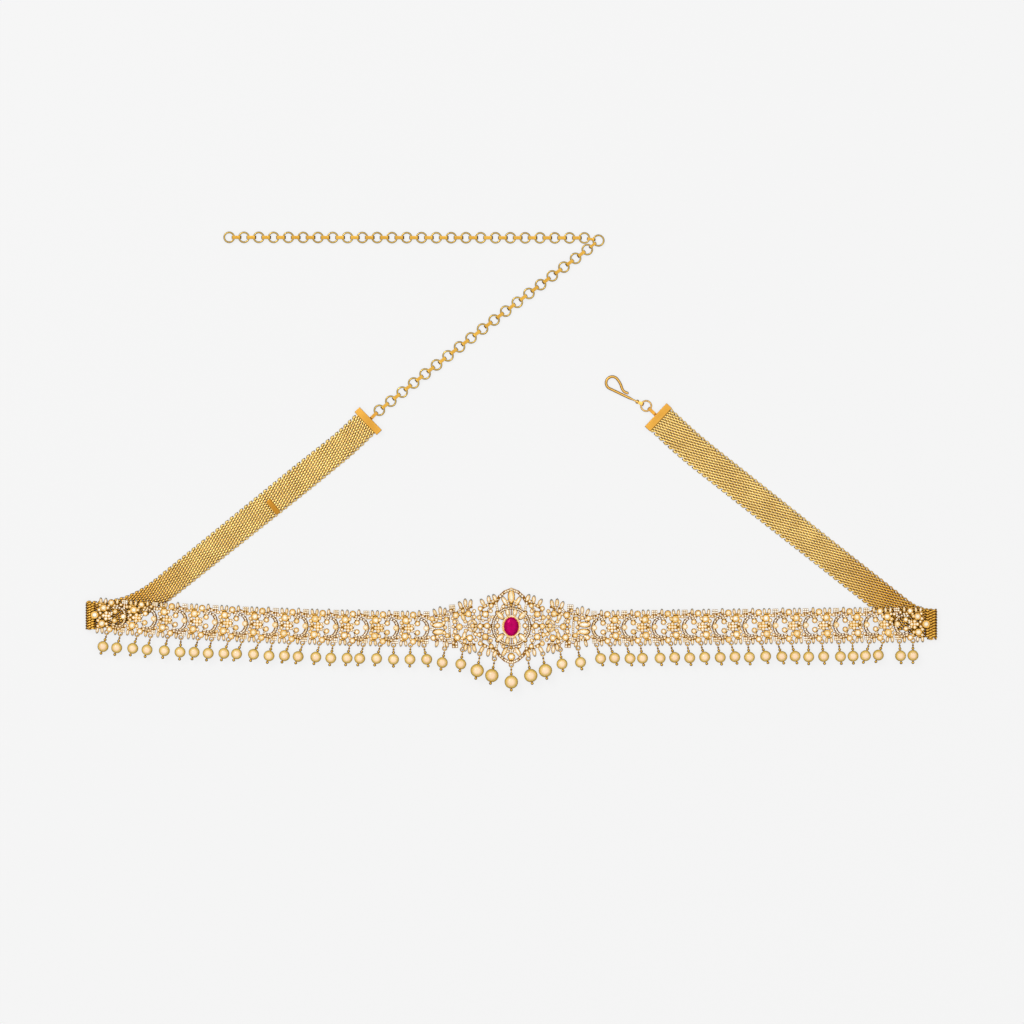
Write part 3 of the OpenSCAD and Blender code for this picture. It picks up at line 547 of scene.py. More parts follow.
def chips(points, r, top, taken):
    """Small stones along a line of points, each as large as there is room for and between two grains."""
    metal, stones = [], []
    for x, y, turn in points:
        fits = [share * r for share in CHIP_SHARES
                if all(hypot(x - a, y - b) > CHIP_ROOM * (share * r) + c for a, b, c in taken)]
        if fits:
            taken.append((x, y, fits[0]))
            stones.append(copied(stone, at(x, y, top + CHIP_RISE, turn, [fits[0]] * 3)))
            for side in (-1, 1):
                beside = at(0, side * fits[0], top, 0, [GRAIN_R] * 3)
                metal.append(copied(grain, at(x, y, 0, turn) @ beside))
    return metal, stones


def between(x, y, to_x, to_y):
    """How far it is from one point to another, and which way in degrees."""
    return hypot(to_x - x, to_y - y), degrees(atan2(to_y - y, to_x - x))


def tie_points(row, step):
    """Points along a bar, as many as fit, and which way it runs."""
    x, y, to_x, to_y, _ = row
    length, turn = between(x, y, to_x, to_y)
    n = max(1, round(length / step))
    return [(x + (to_x - x) * (i + 0.5) / n, y + (to_y - y) * (i + 0.5) / n, turn) for i in range(n)]


def leaf_room(leaves):
    """The room that leaves take, as circles along each."""
    found = []
    for x, y, length, width, turn in leaves:
        for share in (-0.5, 0, 0.5):
            reach = share * length * 0.6
            found.append((x + reach * cos(radians(turn)), y + reach * sin(radians(turn)), width * 0.4))
    return found


def openwork(seats, leaves, ties, eyelets, taken=(), beads=()):
    """The metal and the stones of a plate's seats, leaves, bars with their chips, and beads with their
    stems. Each bar lies a hair lower than the one before, so that no two tops fall in one plane."""
    metal, stones = [], []

    def add(made):
        metal.extend(made[0])
        stones.extend(made[1])

    taken = [*taken, *seats, *beads, *leaf_room(leaves)]
    for i, (x, y, r) in enumerate(seats):
        add(set_round(x, y, r, SEAT_H - SMALL_SEAT_DROP * (r < SMALL_SEAT_R) - BAR_STEP * i,
                      4 if r < LARGE_SEAT_R else 6))
    for row in leaves:
        add(set_leaf(*row, LEAF_H))
    for i, row in enumerate(ties):
        *ends, width = row
        length, turn = between(*ends)
        top = PLATE_T - BAR_STEP * i
        metal.append(copied(bar, at(ends[0], ends[1], 0, turn, (length, width, top))))
        lanes = max(1, ceil(width / (2 * CHIP_R) - LANE_SLACK))
        r = min(CHIP_R, width / lanes / 2)
        for j in range(lanes):
            lane = width * ((j + 0.5) / lanes - 0.5)
            shift = (-lane * sin(radians(turn)), lane * cos(radians(turn)))
            points = [(a + shift[0], b + shift[1], c) for a, b, c in tie_points(row, 2 * r + CHIP_GAP)]
            add(chips(points, r, top, taken))
    fixed = [(x, y) for x, y, *_ in [*seats, *leaves]]
    for i, (x, y, r) in enumerate(beads):
        add(set_round(x, y, r, BEAD_H - BAR_STEP * i, 3))
        for a, b in sorted(fixed, key=lambda p: hypot(p[0] - x, p[1] - y))[:2]:
            length, turn = between(x, y, a, b)
            size = (length, STEM_WIDTH, STEM_TOP - BAR_STEP * i)
            metal.append(copied(bar, at(x, y, 0, turn, size)))
        fixed.append((x, y))
    for x, y in eyelets:
        metal.append(copied(eyelet, at(x, y, EYELET_Z)))
    return metal, stones


def ring_points(rx, ry, count, x=0.0, first=0.0):
    """Points round an oval, each with the way that the oval runs there."""
    turns = [first + 360 * i / count for i in range(count)]
    return [(x + rx * cos(radians(a)), ry * sin(radians(a)), a + 90) for a in turns]


def unit_parts(is_last):
    """One side unit, measured from its inner hinge."""
    metal, stones = openwork(UNIT_SEATS, UNIT_LEAVES, UNIT_TIES, UNIT_EYELETS, [PEAR_SEAT], UNIT_BEADS)
    metal.append(copied(oval_ring, Matrix.Identity(4)))
    outline = (OVAL[0] / 2 - OUTLINE_IN, OVAL[1] / 2 - OUTLINE_IN, OUTLINE_SWELL)
    metal.append(copied(outline_wire, at(0, 0, RAIL_H, 0, outline)))
    metal += [copied(boss, at(x, y, PLATE_T, 0, UNIT_BOSS_SIZE)) for x, y in UNIT_BOSSES]
    oval = ring_points(OVAL[0] / 2 - OVAL_CHIPS_IN[0], OVAL[1] / 2 - OVAL_CHIPS_IN[1], 30, 0.22)
    oval_chips = chips(oval, OVAL_CHIP_R, RAIL_H, list(UNIT_SEATS))
    metal += oval_chips[0]
    stones += oval_chips[1]
    x, y, r = PEAR_SEAT
    metal.append(copied(cup, at(x, y, 0, 0, (r, r, PEAR_CUP_H))))
    if is_last:
        x, y, r = END_SEAT
        metal.append(copied(bar, at(END_BAR[0], y, 0, 0, END_BAR[1:])))
        metal.append(copied(cup, at(x, y, POCKET_TOP, 0, (r, r, END_CUP_H))))
        stones.append(copied(stone, at(x, y, END_STONE_Z, 0, (r * END_STONE_SHARE,) * 3)))
    made = [fused("unit_metal", metal), fused("unit_stones", stones)]
    for piece in made:
        piece.data.transform(at(OVAL_MIDDLE, 0))
    if not is_last:
        eye = copied(hinge_eye, at(PITCH + HINGE_GAP + HINGE_PAST, 0, HINGE_Z))
        made[0] = fused("unit_metal", [made[0], eye])
    return made


def hinge(side, k):
    """Where the k-th hinge of a side is, with the height that it has climbed."""
    share = k / UNITS
    climbed = LIFT * max(0.0, min(1.0, (k - FIRST_CLIMB) / CLIMB_UNITS))
    y = START_Y[side] + RISE[side] * share ** RISE_POWER[side]
    return Vector((MEDALLION_HALF + WING_LENGTH[side] + k * PITCH, y, climbed))


def unit_place(side, k):
    """Where a unit stands, as if it were on the right."""
    step = hinge(side, k + 1) - hinge(side, k)
    return (Matrix.Translation(hinge(side, k)) @ Matrix.Rotation(atan2(step.y, PITCH), 4, "Z")
            @ Matrix.Rotation(-atan2(step.z, PITCH), 4, "Y"))


def on_side(side):
    """Mirrors what is drawn for the right side if it belongs on the left."""
    return Matrix.Diagonal((side, 1, 1, 1))


unit_blanks = [unit_parts(False), unit_parts(True)]
for word, side in SIDES.items():
    loose_stones = []
    for k in range(UNITS):
        place = on_side(side) @ unit_place(side, k)
        metal, stones = unit_blanks[k == UNITS - 1]
        rank = f"{k + 1:02d}"
        hung(fused(f"{word}_openwork_{rank}", [copied(metal, place)]), "panel_gold", f"{word}_unit_{rank}")
        loose_stones.append(copied(stones, place))
        s = PEAR_STONE[0]
        seat = at(OVAL_MIDDLE + PEAR_SEAT[0], PEAR_SEAT[1], PEAR_STONE_Z, 0, (s, s, s * 0.97))
        loose_stones.append(copied(stone, place @ seat))
    hung(fused(f"{word}_zircons", loose_stones), "white_stone", f"{word}_stones")
thrown_away(*unit_blanks[0], *unit_blanks[1])

# Wings
# The two plates beside the medallion, cast in the same gold, taller at the middle than at the end:
# they carry sprays of pointed leaves round small flowers, and two long leaves reach the first unit.
# The tables have the same columns as the side units' tables.
WING_SEATS = [
    (1.9, 0.1, 0.85), (3.3, 5.0, 1.25), (3.3, -4.7, 1.25), (8.3, 4.7, 1.25), (8.3, -4.2, 1.25),
    (7.2, 0, 1.25), (12.2, 3.4, 0.9), (12.2, -3.2, 0.9)]
WING_LEAVES = [
    (1.0, 1.6, 2.6, 1.2, 45), (1.0, -1.4, 2.6, 1.2, -45), (2.9, 1.6, 2.6, 1.2, -45),
    (2.9, -1.4, 2.6, 1.2, 45), (2.2, 9.0, 3.4, 1.4, 105), (4.2, 9.4, 3.4, 1.4, 90),
    (6.2, 8.6, 3.2, 1.4, 70), (1.8, -9.0, 3.4, 1.4, -105), (3.7, -9.3, 3.4, 1.4, -90),
    (5.2, -8.4, 3.0, 1.3, -80), (5.4, 3.8, 3.2, 1.6, 75), (5.4, -3.6, 3.2, 1.6, -75),
    (12.6, 6.6, 2.8, 1.2, 100), (14.4, 7.0, 3.2, 1.3, 90), (16.6, 6.4, 3.0, 1.2, 70),
    (12.6, -6.6, 2.6, 1.2, -100), (16.6, -6.2, 2.8, 1.2, -70), (15.6, 1.3, 4.8, 2.2, 0),
    (15.6, -1.5, 4.8, 2.2, 0)]
WING_TIES = [
    (0.2, 0, 9.4, 0, 0.8), (3.3, 5.0, 3.4, 7.9, 1.6), (3.3, -4.7, 3.0, -7.8, 1.6),
    (1.0, 1.4, 3.2, 4.8, 0.6), (1.0, -1.4, 3.2, -4.6, 0.6), (3.2, 4.9, 8.4, 4.7, 0.8),
    (3.2, -4.6, 8.4, -4.2, 0.8), (1.4, 7.6, 6.8, 7.2, 0.9), (1.2, -7.4, 6.4, -7.2, 0.9),
    (6.2, 7.2, 8.6, 5.0, 0.8), (6.0, -7.2, 8.6, -4.6, 0.8), (7.2, 0.6, 8.3, 4.4, 0.6),
    (7.3, -0.7, 8.2, -3.9, 0.6), (8.2, 5.0, 12.4, 5.6, 0.9), (8.2, -4.6, 12.4, -5.4, 0.9),
    (11.2, 4.9, 11.2, -4.8, 0.8), (10.9, 5.4, 16.8, 4.9, 0.9), (10.9, -5.2, 16.8, -4.7, 0.9),
    (12.2, 4.0, 14.2, 5.2, 0.6), (12.2, -3.8, 14.2, -5.0, 0.6), (17.25, 4.7, 17.15, -4.7, 0.8),
    (11.4, 3.4, 12.4, 3.3, 0.8), (11.4, -3.2, 12.4, -3.1, 0.8), (8.4, 7.8, 10.8, 7.8, 2.4),
    (8.2, -7.2, 10.6, -7.2, 2.2), (9.0, 6.8, 8.6, 5.0, 0.9), (9.0, -6.4, 8.6, -4.8, 0.9)]
WING_EYELETS = [(6.5, -9.2), (13.6, -8.2)]
WING_POSTS = [(6.5, -9.2, 6.2, -7.2, 0.8), (13.6, -8.0, 13.8, -5.0, 0.8)]
WING_BEADS = [
    (1.0, 3.6, 0.75), (1.0, -3.3, 0.75), (0.9, 5.9, 0.7), (0.9, -5.6, 0.7), (4.7, 2.0, 0.7),
    (4.7, -1.7, 0.7), (5.4, 6.3, 0.75), (5.4, -6.0, 0.75), (6.4, 5.1, 0.6), (6.4, -4.7, 0.6),
    (9.0, 2.2, 0.8), (9.0, -1.8, 0.8), (9.7, 0.2, 0.6), (10.2, 6.6, 0.6), (10.0, -6.2, 0.6),
    (13.4, 2.0, 0.75), (13.4, -2.0, 0.75), (12.9, 0.1, 0.7), (14.6, 4.0, 0.75), (14.6, -3.9, 0.75),
    (16.2, 3.4, 0.65), (16.2, -3.4, 0.65), (9.7, 3.6, 0.6), (9.8, -3.2, 0.6)]
WING_BOSSES, WING_BOSS_SIZE = [(4.9, 4.8), (4.9, -4.4)], (0.75, 0.75, 0.6)
WING_START_Y = 0.3


def wing_place(side):
    """Where a wing stands, as if it were on the right."""
    slope = atan2(START_Y[side] - WING_START_Y, WING_LENGTH[side])
    return Matrix.Translation((MEDALLION_HALF, WING_START_Y, 0)) @ Matrix.Rotation(slope, 4, "Z")


for word, side in SIDES.items():
    reach = WING_LENGTH[side]
    ends = [(HINGE_GAP, 0, 1.6, 0, 3.2), (16.8, 0, reach - HINGE_GAP, 0, 1.5)]
    beads = WING_BEADS + [(reach - 1.1, 3.9, 1.0), (reach - 1.1, -3.8, 1.0), (reach - 0.8, 1.9, 0.6)]
    ties = WING_TIES + WING_POSTS + ends
    metal, stones = openwork(WING_SEATS, WING_LEAVES, ties, WING_EYELETS, (), beads)
    metal.append(copied(hinge_eye, at(reach + HINGE_GAP + HINGE_PAST, 0, HINGE_Z)))
    metal += [copied(boss, at(x, y, PLATE_T, 0, WING_BOSS_SIZE)) for x, y in WING_BOSSES]
    place = on_side(side) @ wing_place(side)
    wing = [fused(f"{word}_wing_openwork", metal), fused(f"{word}_wing_zircons", stones)]
    for piece in wing:
        piece.data.transform(place)
        if side == LEFT:
            piece.data.flip_normals()
    hung(wing[0], "panel_gold", f"{word}_wing")
    hung(wing[1], "white_stone")

# Medallion
# The middle plate, cast in gold: a round halo and eight claws hold the ruby over a closed back, and
# sprays of leaves and round stones run up to a point above it and down to a foot below. It is drawn
# as its right half, which is mirrored, and the pieces along its middle.
HALO_R, HALO_HALF = 7.4, 0.4
RUBY_SIZE = (6.0, 7.6)
MEDALLION_SEATS = [
    (9.7, 0.3, 1.15), (10.4, 4.9, 1.25), (10.4, -4.1, 1.25), (5.5, 0.3, 0.95), (8.0, 8.3, 0.9),
    (8.0, -7.9, 0.9), (12.4, 7.2, 0.9), (12.4, -6.8, 0.9)]
MEDALLION_LEAVES = [
    (4.6, 4.5, 4.4, 2.1, 45), (4.6, -4.5, 4.4, 2.1, -45), (1.5, 5.8, 3.6, 1.7, 80),
    (1.5, -5.8, 3.6, 1.7, -80), (2.7, 10.2, 4.4, 1.6, 60), (2.7, -10.2, 4.4, 1.6, -60),
    (6.6, 11.4, 3.2, 1.5, 65), (9.0, 10.8, 3.2, 1.4, 85), (11.5, 9.6, 3.2, 1.4, 60),
    (6.6, -11.0, 3.2, 1.5, -65), (9.2, -10.4, 3.2, 1.4, -80), (11.8, -9.2, 3.2, 1.4, -60)]
MEDALLION_TIES = [
    (0, 14.8, 2.6, 13.8, 1.3), (2.4, 14.0, 4.8, 11.8, 1.3), (4.6, 12.2, 6.2, 9.4, 1.3),
    (6.2, 9.8, 5.2, 5.4, 0.9), (6.0, 9.4, 9.4, 8.6, 1.1), (9.0, 8.9, 13.0, 6.6, 1.1),
    (8.0, 8.4, 10.3, 5.0, 0.7), (12.6, 7.0, 10.6, 5.2, 0.7), (10.0, 4.7, 6.9, 3.2, 0.8),
    (0, -14.6, 2.6, -13.4, 1.3), (2.4, -13.6, 4.8, -11.4, 1.3), (4.6, -11.8, 6.2, -9.0, 1.3),
    (6.2, -9.4, 5.2, -5.4, 0.9), (6.0, -9.0, 9.4, -8.2, 1.1), (9.0, -8.5, 13.0, -6.2, 1.1),
    (8.0, -8.0, 10.3, -4.3, 0.7), (12.6, -6.6, 10.6, -4.4, 0.7), (10.2, -4.1, 6.6, -3.4, 0.9),
    (5.5, 0.3, 7.3, 0.3, 0.9), (7.2, 0.3, 13.5, 0.3, 1.4), (12.4, 7.2, 12.6, 0.6, 0.7),
    (12.4, -6.8, 12.6, 0, 0.7)]
MEDALLION_BEADS = [
    (12.45, 0.1, 1.05), (12.9, 3.6, 0.85), (12.9, -3.3, 0.85), (8.2, 6.2, 0.7), (8.2, -5.6, 0.7),
    (10.6, 8.2, 0.65), (10.6, -7.8, 0.65), (8.9, 2.6, 0.65), (8.9, -2.1, 0.65), (7.4, 10.1, 0.6),
    (7.4, -9.7, 0.6), (3.2, 8.0, 0.7), (3.2, -8.0, 0.7), (1.5, 10.1, 0.55), (1.4, -9.9, 0.55),
    (5.6, 2.6, 0.6), (5.6, -2.1, 0.6), (3.9, 7.0, 0.5), (3.9, -7.0, 0.5), (11.3, 2.4, 0.55),
    (11.3, -1.9, 0.55)]
MEDALLION_EYELETS = [(6.75, -12.9), (12.6, -10.9)]
BOTTOM_EYELET = (0, -15.4)
MIDDLE_BOSSES_Y, MIDDLE_BOSS_SIZE = (8.6, -8.5), (0.8, 0.7, 0.6)
COLLET_WALL = 0.75
COLLET_H = 2.0
RIM_PAST, CLAW_PAST = 0.45, 0.42
CLAW_TOP = 2.8
CLAWS = 8
RIM_CHIP_R = 0.34
HALO_BEAD_R, HALO_BEAD_H = 0.56, LEAF_H - 0.25
# The rows of beads inside and outside the halo. Columns: radius, count
HALO_BEAD_ROWS = [(HALO_R - 0.85, 28), (HALO_R + 0.9, 32)]
HALO_OUTLINES = (HALO_R - 0.42, HALO_R + 0.38)

# Halo: a flat ring whose edges are rolled
start("circle", vertices=64, radius=HALO_R - HALO_HALF)
bpy.ops.mesh.extrude_region_move()
widening = (HALO_R + HALO_HALF) / (HALO_R - HALO_HALF)
bpy.ops.transform.resize(value=(widening,) * 3, center_override=(0, 0, 0))
halo = thick_rail("halo")

# Collet: an oval cup with a closed back and a thin wall
start("cylinder", vertices=40, radius=1, depth=COLLET_H, location=(0, 0, COLLET_H / 2))
bpy.ops.transform.resize(value=(RUBY_SIZE[0] / 2 + COLLET_WALL, RUBY_SIZE[1] / 2 + COLLET_WALL, 1))
pick(lambda c: c.z > COLLET_H - 0.01)
bpy.ops.mesh.bevel(offset=0.12, segments=2)
pick(lambda c: c.z > COLLET_H - 0.01 and hypot(c.x, c.y) < 0.5)
bpy.ops.mesh.inset(thickness=0.4)
drawn_out((0, 0, PLATE_T - COLLET_H), (0.86, 0.88, 1))
collet = blank("collet", panel_gold, 40, shade_gold)

# Claw: a tapered post with a round head, bent in over the stone
start("cylinder", vertices=8, radius=0.3, depth=CLAW_TOP, location=(0, 0, CLAW_TOP / 2))
pick(lambda c: c.z > CLAW_TOP - 0.01)
bpy.ops.transform.resize(value=(0.8, 0.8, 1))
bpy.ops.mesh.bevel(offset=0.12, segments=2)
claw = blank("claw", panel_gold, 60)

half_metal, half_stones = openwork(
    MEDALLION_SEATS, MEDALLION_LEAVES, MEDALLION_TIES, MEDALLION_EYELETS, (), MEDALLION_BEADS)
half_metal.append(copied(hinge_eye, at(MEDALLION_HALF + HINGE_GAP + HINGE_PAST, WING_START_Y, HINGE_Z)))
halves = [fused("half_metal", half_metal), fused("half_stones", half_stones)]
metal = [halves[0], copied(halves[0], on_side(LEFT)), copied(halo, at(0, 0)), copied(collet, at(0, 0))]
stones = [halves[1], copied(halves[1], on_side(LEFT))]
middle_leaves = [(0, 12.0, 5.6, 2.6, 90)]
middle_ties = [(0, 7.4, 0, 10, 1.8), (0, -7.4, 0, -11.4, 1.6), (0, -13, 0, -14.8, 1.4)]
middle = openwork([(0, -12.1, 1.4)], middle_leaves, middle_ties, [BOTTOM_EYELET], (), [(0, 14.8, 0.6)])
halo_ring = ring_points(HALO_R - 0.05, HALO_R - 0.05, 64, first=2.8)
rim = ring_points(RUBY_SIZE[0] / 2 + RIM_PAST, RUBY_SIZE[1] / 2 + RIM_PAST, 32, first=5.6)
for made in (middle, chips(halo_ring, RIM_CHIP_R, RAIL_H, list(MEDALLION_SEATS)),
             chips(rim, RIM_CHIP_R, COLLET_H - 0.06, [])):
    metal += made[0]
    stones += made[1]
reach_x, reach_y = [size / 2 + CLAW_PAST for size in RUBY_SIZE]
for i in range(CLAWS):
    a = 2 * pi * (i + 0.5) / CLAWS
    metal.append(copied(claw, at(reach_x * cos(a), reach_y * sin(a))))
# The halo's beads stand only where no seat, bead or leaf has the room
room = MEDALLION_SEATS + MEDALLION_BEADS + leaf_room(MEDALLION_LEAVES + middle_leaves)
room += [(-x, y, r) for x, y, r in room]
for radius, count in HALO_BEAD_ROWS:
    for x, y, turn in ring_points(radius, radius, count, first=6.4):
        if all(hypot(x - a, y - b) > BEAD_ROOM * HALO_BEAD_R + c for a, b, c in room):
            made = set_round(x, y, HALO_BEAD_R, HALO_BEAD_H, 3)
            metal += made[0]
            stones += made[1]
for radius in HALO_OUTLINES:
    metal.append(copied(outline_wire, at(0, 0, LEAF_H - 0.06, 0, (radius, radius, OUTLINE_SWELL))))
metal += [copied(boss, at(0, y, PLATE_T, 0, MIDDLE_BOSS_SIZE)) for y in MIDDLE_BOSSES_Y]
hung(fused("medallion_openwork", metal), "panel_gold", "medallion")
hung(fused("medallion_zircons", stones), "white_stone")
thrown_away(halo, collet, claw, cup, stone, gallery, outline_wire, boss, grain, tip, leaf_cup, marquise,
            bar, eyelet, hinge_eye, oval_ring)

# Ruby
# One oval ruby, step and brilliant cut: a flat table, a crown of two rows of facets and a deep
# pavilion. The stone is dense and pinkish red, so that little of the gold behind it shows through.
RUBY_COLOUR, RUBY_DEEP, RUBY_GLINT = "#c00060", "#980048", "#f0307c"
RUBY_BASE = 1.15
RUBY_CROWN = 0.9
RUBY_PAVILION = 1.2


def cut_ruby(name, colour, deep, glint):
    """Corundum, red with chromium: hard, clear and glossy, a little brighter where it is thin."""
    material, tree, shader, where = surface(name)
    wired(tree, shader, {
        "Base Color": mottled(tree, where, 0.6, 2.0, (0.3, linear(deep)), (0.7, linear(colour))),
        "Roughness": 0.06, "IOR": 1.77, "Specular Tint": linear(glint), "Transmission Weight": 0.15})
    return material


ruby_red = cut_ruby("cut ruby", RUBY_COLOUR, RUBY_DEEP, RUBY_GLINT)
start("circle", vertices=16, radius=1, fill_type="NGON")
for rise, share in ((0.6, 0.8), (0.4, 0.72)):
    drawn_out((0, 0, RUBY_CROWN * rise), (share, share, 1))
    bpy.ops.transform.rotate(value=pi / 16, orient_axis="Z", center_override=(0, 0, 0))
pick(lambda c: abs(c.z) < 0.01, "EDGE")
drawn_out((0, 0, -RUBY_PAVILION * 0.55), (0.62, 0.62, 1))
drawn_out((0, 0, -RUBY_PAVILION * 0.45))
bpy.ops.mesh.merge(type="CENTER")
bpy.ops.mesh.select_all(action="SELECT")
bpy.ops.mesh.quads_convert_to_tris()
bpy.ops.mesh.normals_make_consistent(inside=False)
bpy.ops.transform.resize(value=(RUBY_SIZE[0] / 2, RUBY_SIZE[1] / 2, 1), center_override=(0, 0, 0))
ruby = blank("cut_ruby", ruby_red)
ruby.data.transform(at(0, 0, RUBY_BASE + RUBY_PAVILION))
hung(ruby, "ruby", "ruby")

# Pearl drops
# Peach gold pearls, each drilled and threaded on a gold head pin: the pin ends below in a small ball,
# has a bead above the pearl, and is turned into a loop that hangs in an eyelet of the panel.
PEARL_D = 4.4
LARGE_PEARL_D = 5.4
DROP_LEN = 5.1
LARGE_DROP_LEN = 6.2
PIN_D = 0.5
LOOP_R = 0.67
LOOP_WIRE = 0.34
WRAPS, WRAP_R, WRAP_WIRE = 2, PIN_D / 2 + 0.06, 0.26
WRAP_START, WRAP_STEP, WRAP_TILT = LOOP_R + 0.3, 0.24, 0.15
BEAD_R = 0.6
BEAD_TO_PEARL = 0.62
# How far each drop swings outwards from straight down, in degrees. Columns: by the ring, by the flower
LEANS = {
    LEFT: [(-13, 2), (0, 16), (16, 12), (9, 16), (20, 21), (14, 24), (24, 20), (14, 17), (4, 14), (16, 20),
           (16, 17)],
    RIGHT: [(18, 20), (14, 9), (13, 18), (10, 17), (11, 17), (6, 19), (16, 15), (0, 7), (7, 3), (-17, -20),
            (5, 0)]}
WING_LEANS = (8, 11)
LARGE_LEANS = (0, 10, 10)
# Painted light from above: paler and pinker where the pearl faces up, yellower and darker round the sides.
# Columns: how far a spot faces upwards, colour
TOP_LIGHT_STOPS = [(0.1, "#bc9c48"), (0.5, "#e0ba48"), (0.74, "#ebca7c"), (0.93, "#f0cfac")]
PEARL_GLINT = "#ffd9c8"


def pearl_skin(name):
    """Cultured pearl: layers of nacre over a bead. The body is a warm gold round the sides, and its upper
    side
    is painted a pale, pinkish peach: painted light and reflection from above."""
    material, tree, shader, where = surface(name)
    up = node(tree, "SeparateXYZ", {0: node(tree, "TexCoord").outputs["Normal"]}).outputs["Z"]
    stops = [(position, linear(colour)) for position, colour in TOP_LIGHT_STOPS]
    top_light = ramp_between(node(tree, "ValToRGB", {0: up}), *stops)
    tone = mottled(tree, where, 0.09, 2.0, (0.35, (0.93, 0.90, 0.86, 1.0)), (0.65, (1.0, 1.0, 1.0, 1.0)))
    growth = node(tree, "TexNoise", {"Vector": where, "Scale": 1.2 / MM, "Detail": 2.0})
    relief = node(tree, "Bump", {"Strength": 0.04, "Distance": 0.05 * MM,
                                           "Height": growth.outputs["Fac"]})
    wired(tree, shader, {
        "Base Color": multiplied(tree, 1.0, top_light.outputs[0], tone), "Normal": relief.outputs[0],
        "Roughness": 0.3, "IOR": 1.6, "Specular Tint": linear(PEARL_GLINT), "Coat Weight": 0.3,
        "Coat Roughness": 0.12})
    return material


nacre = pearl_skin("peach gold nacre")
pin_gold = cast_gold("drawn pin gold", "#cfa544", "#a67c2a", "#4f340c", roughness=0.24)

# Pearl along the x axis, one millimetre in radius, a little drawn out at its drilled ends
start("uv_sphere", segments=24, ring_count=14, radius=1, rotation=(0, pi / 2, 0))
bpy.ops.object.mode_set(mode="OBJECT")
bpy.ops.object.transform_apply(location=True, rotation=True, scale=True)
bpy.ops.object.mode_set(mode="EDIT")
pick(lambda c: c.x < -0.6, "VERT")
bpy.ops.transform.resize(value=(1, 0.97, 0.97), center_override=(0, 0, 0))
pick(lambda c: abs(c.x) > 0.99, "VERT")
bpy.ops.transform.resize(value=(0.94, 1, 1), center_override=(0, 0, 0))
pearl = blank("pearl", nacre, 180)


def head_pin(name, length, d):
    """A pin along the x axis: its loop at the origin, and a bead and a ball at the pearl's two ends."""
    reach = d / 2 + BEAD_TO_PEARL
    start_ring(LOOP_R, LOOP_WIRE / 2, 18, 6, rotation=(pi / 2, 0, 0))
    parts = [blank("loop", pin_gold, 60)]
    start("cylinder", vertices=8, radius=PIN_D / 2, depth=length + reach - LOOP_R,
          location=((length + reach + LOOP_R) / 2, 0, 0), rotation=(0, pi / 2, 0))
    parts.append(blank("shaft", pin_gold, 60))
    for turn in range(WRAPS):
        start_ring(WRAP_R, WRAP_WIRE / 2, 10, 5, location=(WRAP_START + WRAP_STEP * turn, 0, 0),
                   rotation=(0, pi / 2 + WRAP_TILT, 0))
        parts.append(blank("wrap", pin_gold, 60))
    for x in (length - reach, length + reach):
        start("uv_sphere", segments=10, ring_count=7, radius=BEAD_R, location=(x, 0, 0),
              rotation=(0, pi / 2, 0))
        parts.append(blank("ball", pin_gold, 180))
    return fused(name, parts)


def drop_place(side, eye, lean, length, d):
    """A drop's own axes, given its eyelet: the loop hangs in the eye and the pearl lies on the table."""
    loop_z = EYELET_Z + eye.z
    below = EYELET_HOLE_R + (EYELET_R - EYELET_HOLE_R) / 2
    dip = -asin((d / 2 - loop_z) / length)
    return (on_side(side) @ Matrix.Translation((eye.x, eye.y - below, loop_z))
            @ Matrix.Rotation(radians(lean - 90), 4, "Z") @ Matrix.Rotation(dip, 4, "Y"))


def small_drops(side):
    """The places of a side's small drops, from the last unit's to the wing's."""
    places = []
    for k in range(UNITS):
        for (x, y), lean in zip(UNIT_EYELETS, LEANS[side][k]):
            eye = unit_place(side, k) @ Vector((x + OVAL_MIDDLE, y, 0))
            places.append(drop_place(side, eye, lean, DROP_LEN, PEARL_D))
    for (x, y), lean in zip(WING_EYELETS, WING_LEANS):
        places.append(drop_place(side, wing_place(side) @ Vector((x, y, 0)), lean, DROP_LEN, PEARL_D))
    return places


small_pin = head_pin("small_pin", DROP_LEN, PEARL_D)
large_pin = head_pin("large_pin", LARGE_DROP_LEN, LARGE_PEARL_D)
for word, side in SIDES.items():
    places = small_drops(side)
    sphere = at(DROP_LEN, 0, 0, 0, (PEARL_D / 2,) * 3)
    turned = [Matrix.Rotation(1.7 * i, 4, "X") for i in range(len(places))]
    hung(fused(f"{word}_nacre_drops", [copied(pearl, p @ sphere @ t) for p, t in zip(places, turned)]),
         "pearl", f"{word}_pearls")
    hung(fused(f"{word}_head_pins", [copied(small_pin, p) for p in places]), "pin_gold", f"{word}_pins")
pins = []
for k in range(1, 6):
    side, rank = (LEFT if k < 3 else RIGHT), abs(k - 3)
    x, y = [BOTTOM_EYELET, *MEDALLION_EYELETS][rank]
    place = drop_place(side, Vector((x, y, 0)), LARGE_LEANS[rank], LARGE_DROP_LEN, LARGE_PEARL_D)
    sphere = at(LARGE_DROP_LEN, 0, 0, 0, (LARGE_PEARL_D / 2,) * 3)
    hung(fused(f"large_nacre_drop_{k}", [copied(pearl, place @ sphere)]), "pearl", f"large_pearl_{k}")
    pins.append(copied(large_pin, place))
hung(fused("large_head_pins", pins), "pin_gold", "large_pins")
thrown_away(pearl, small_pin, large_pin)

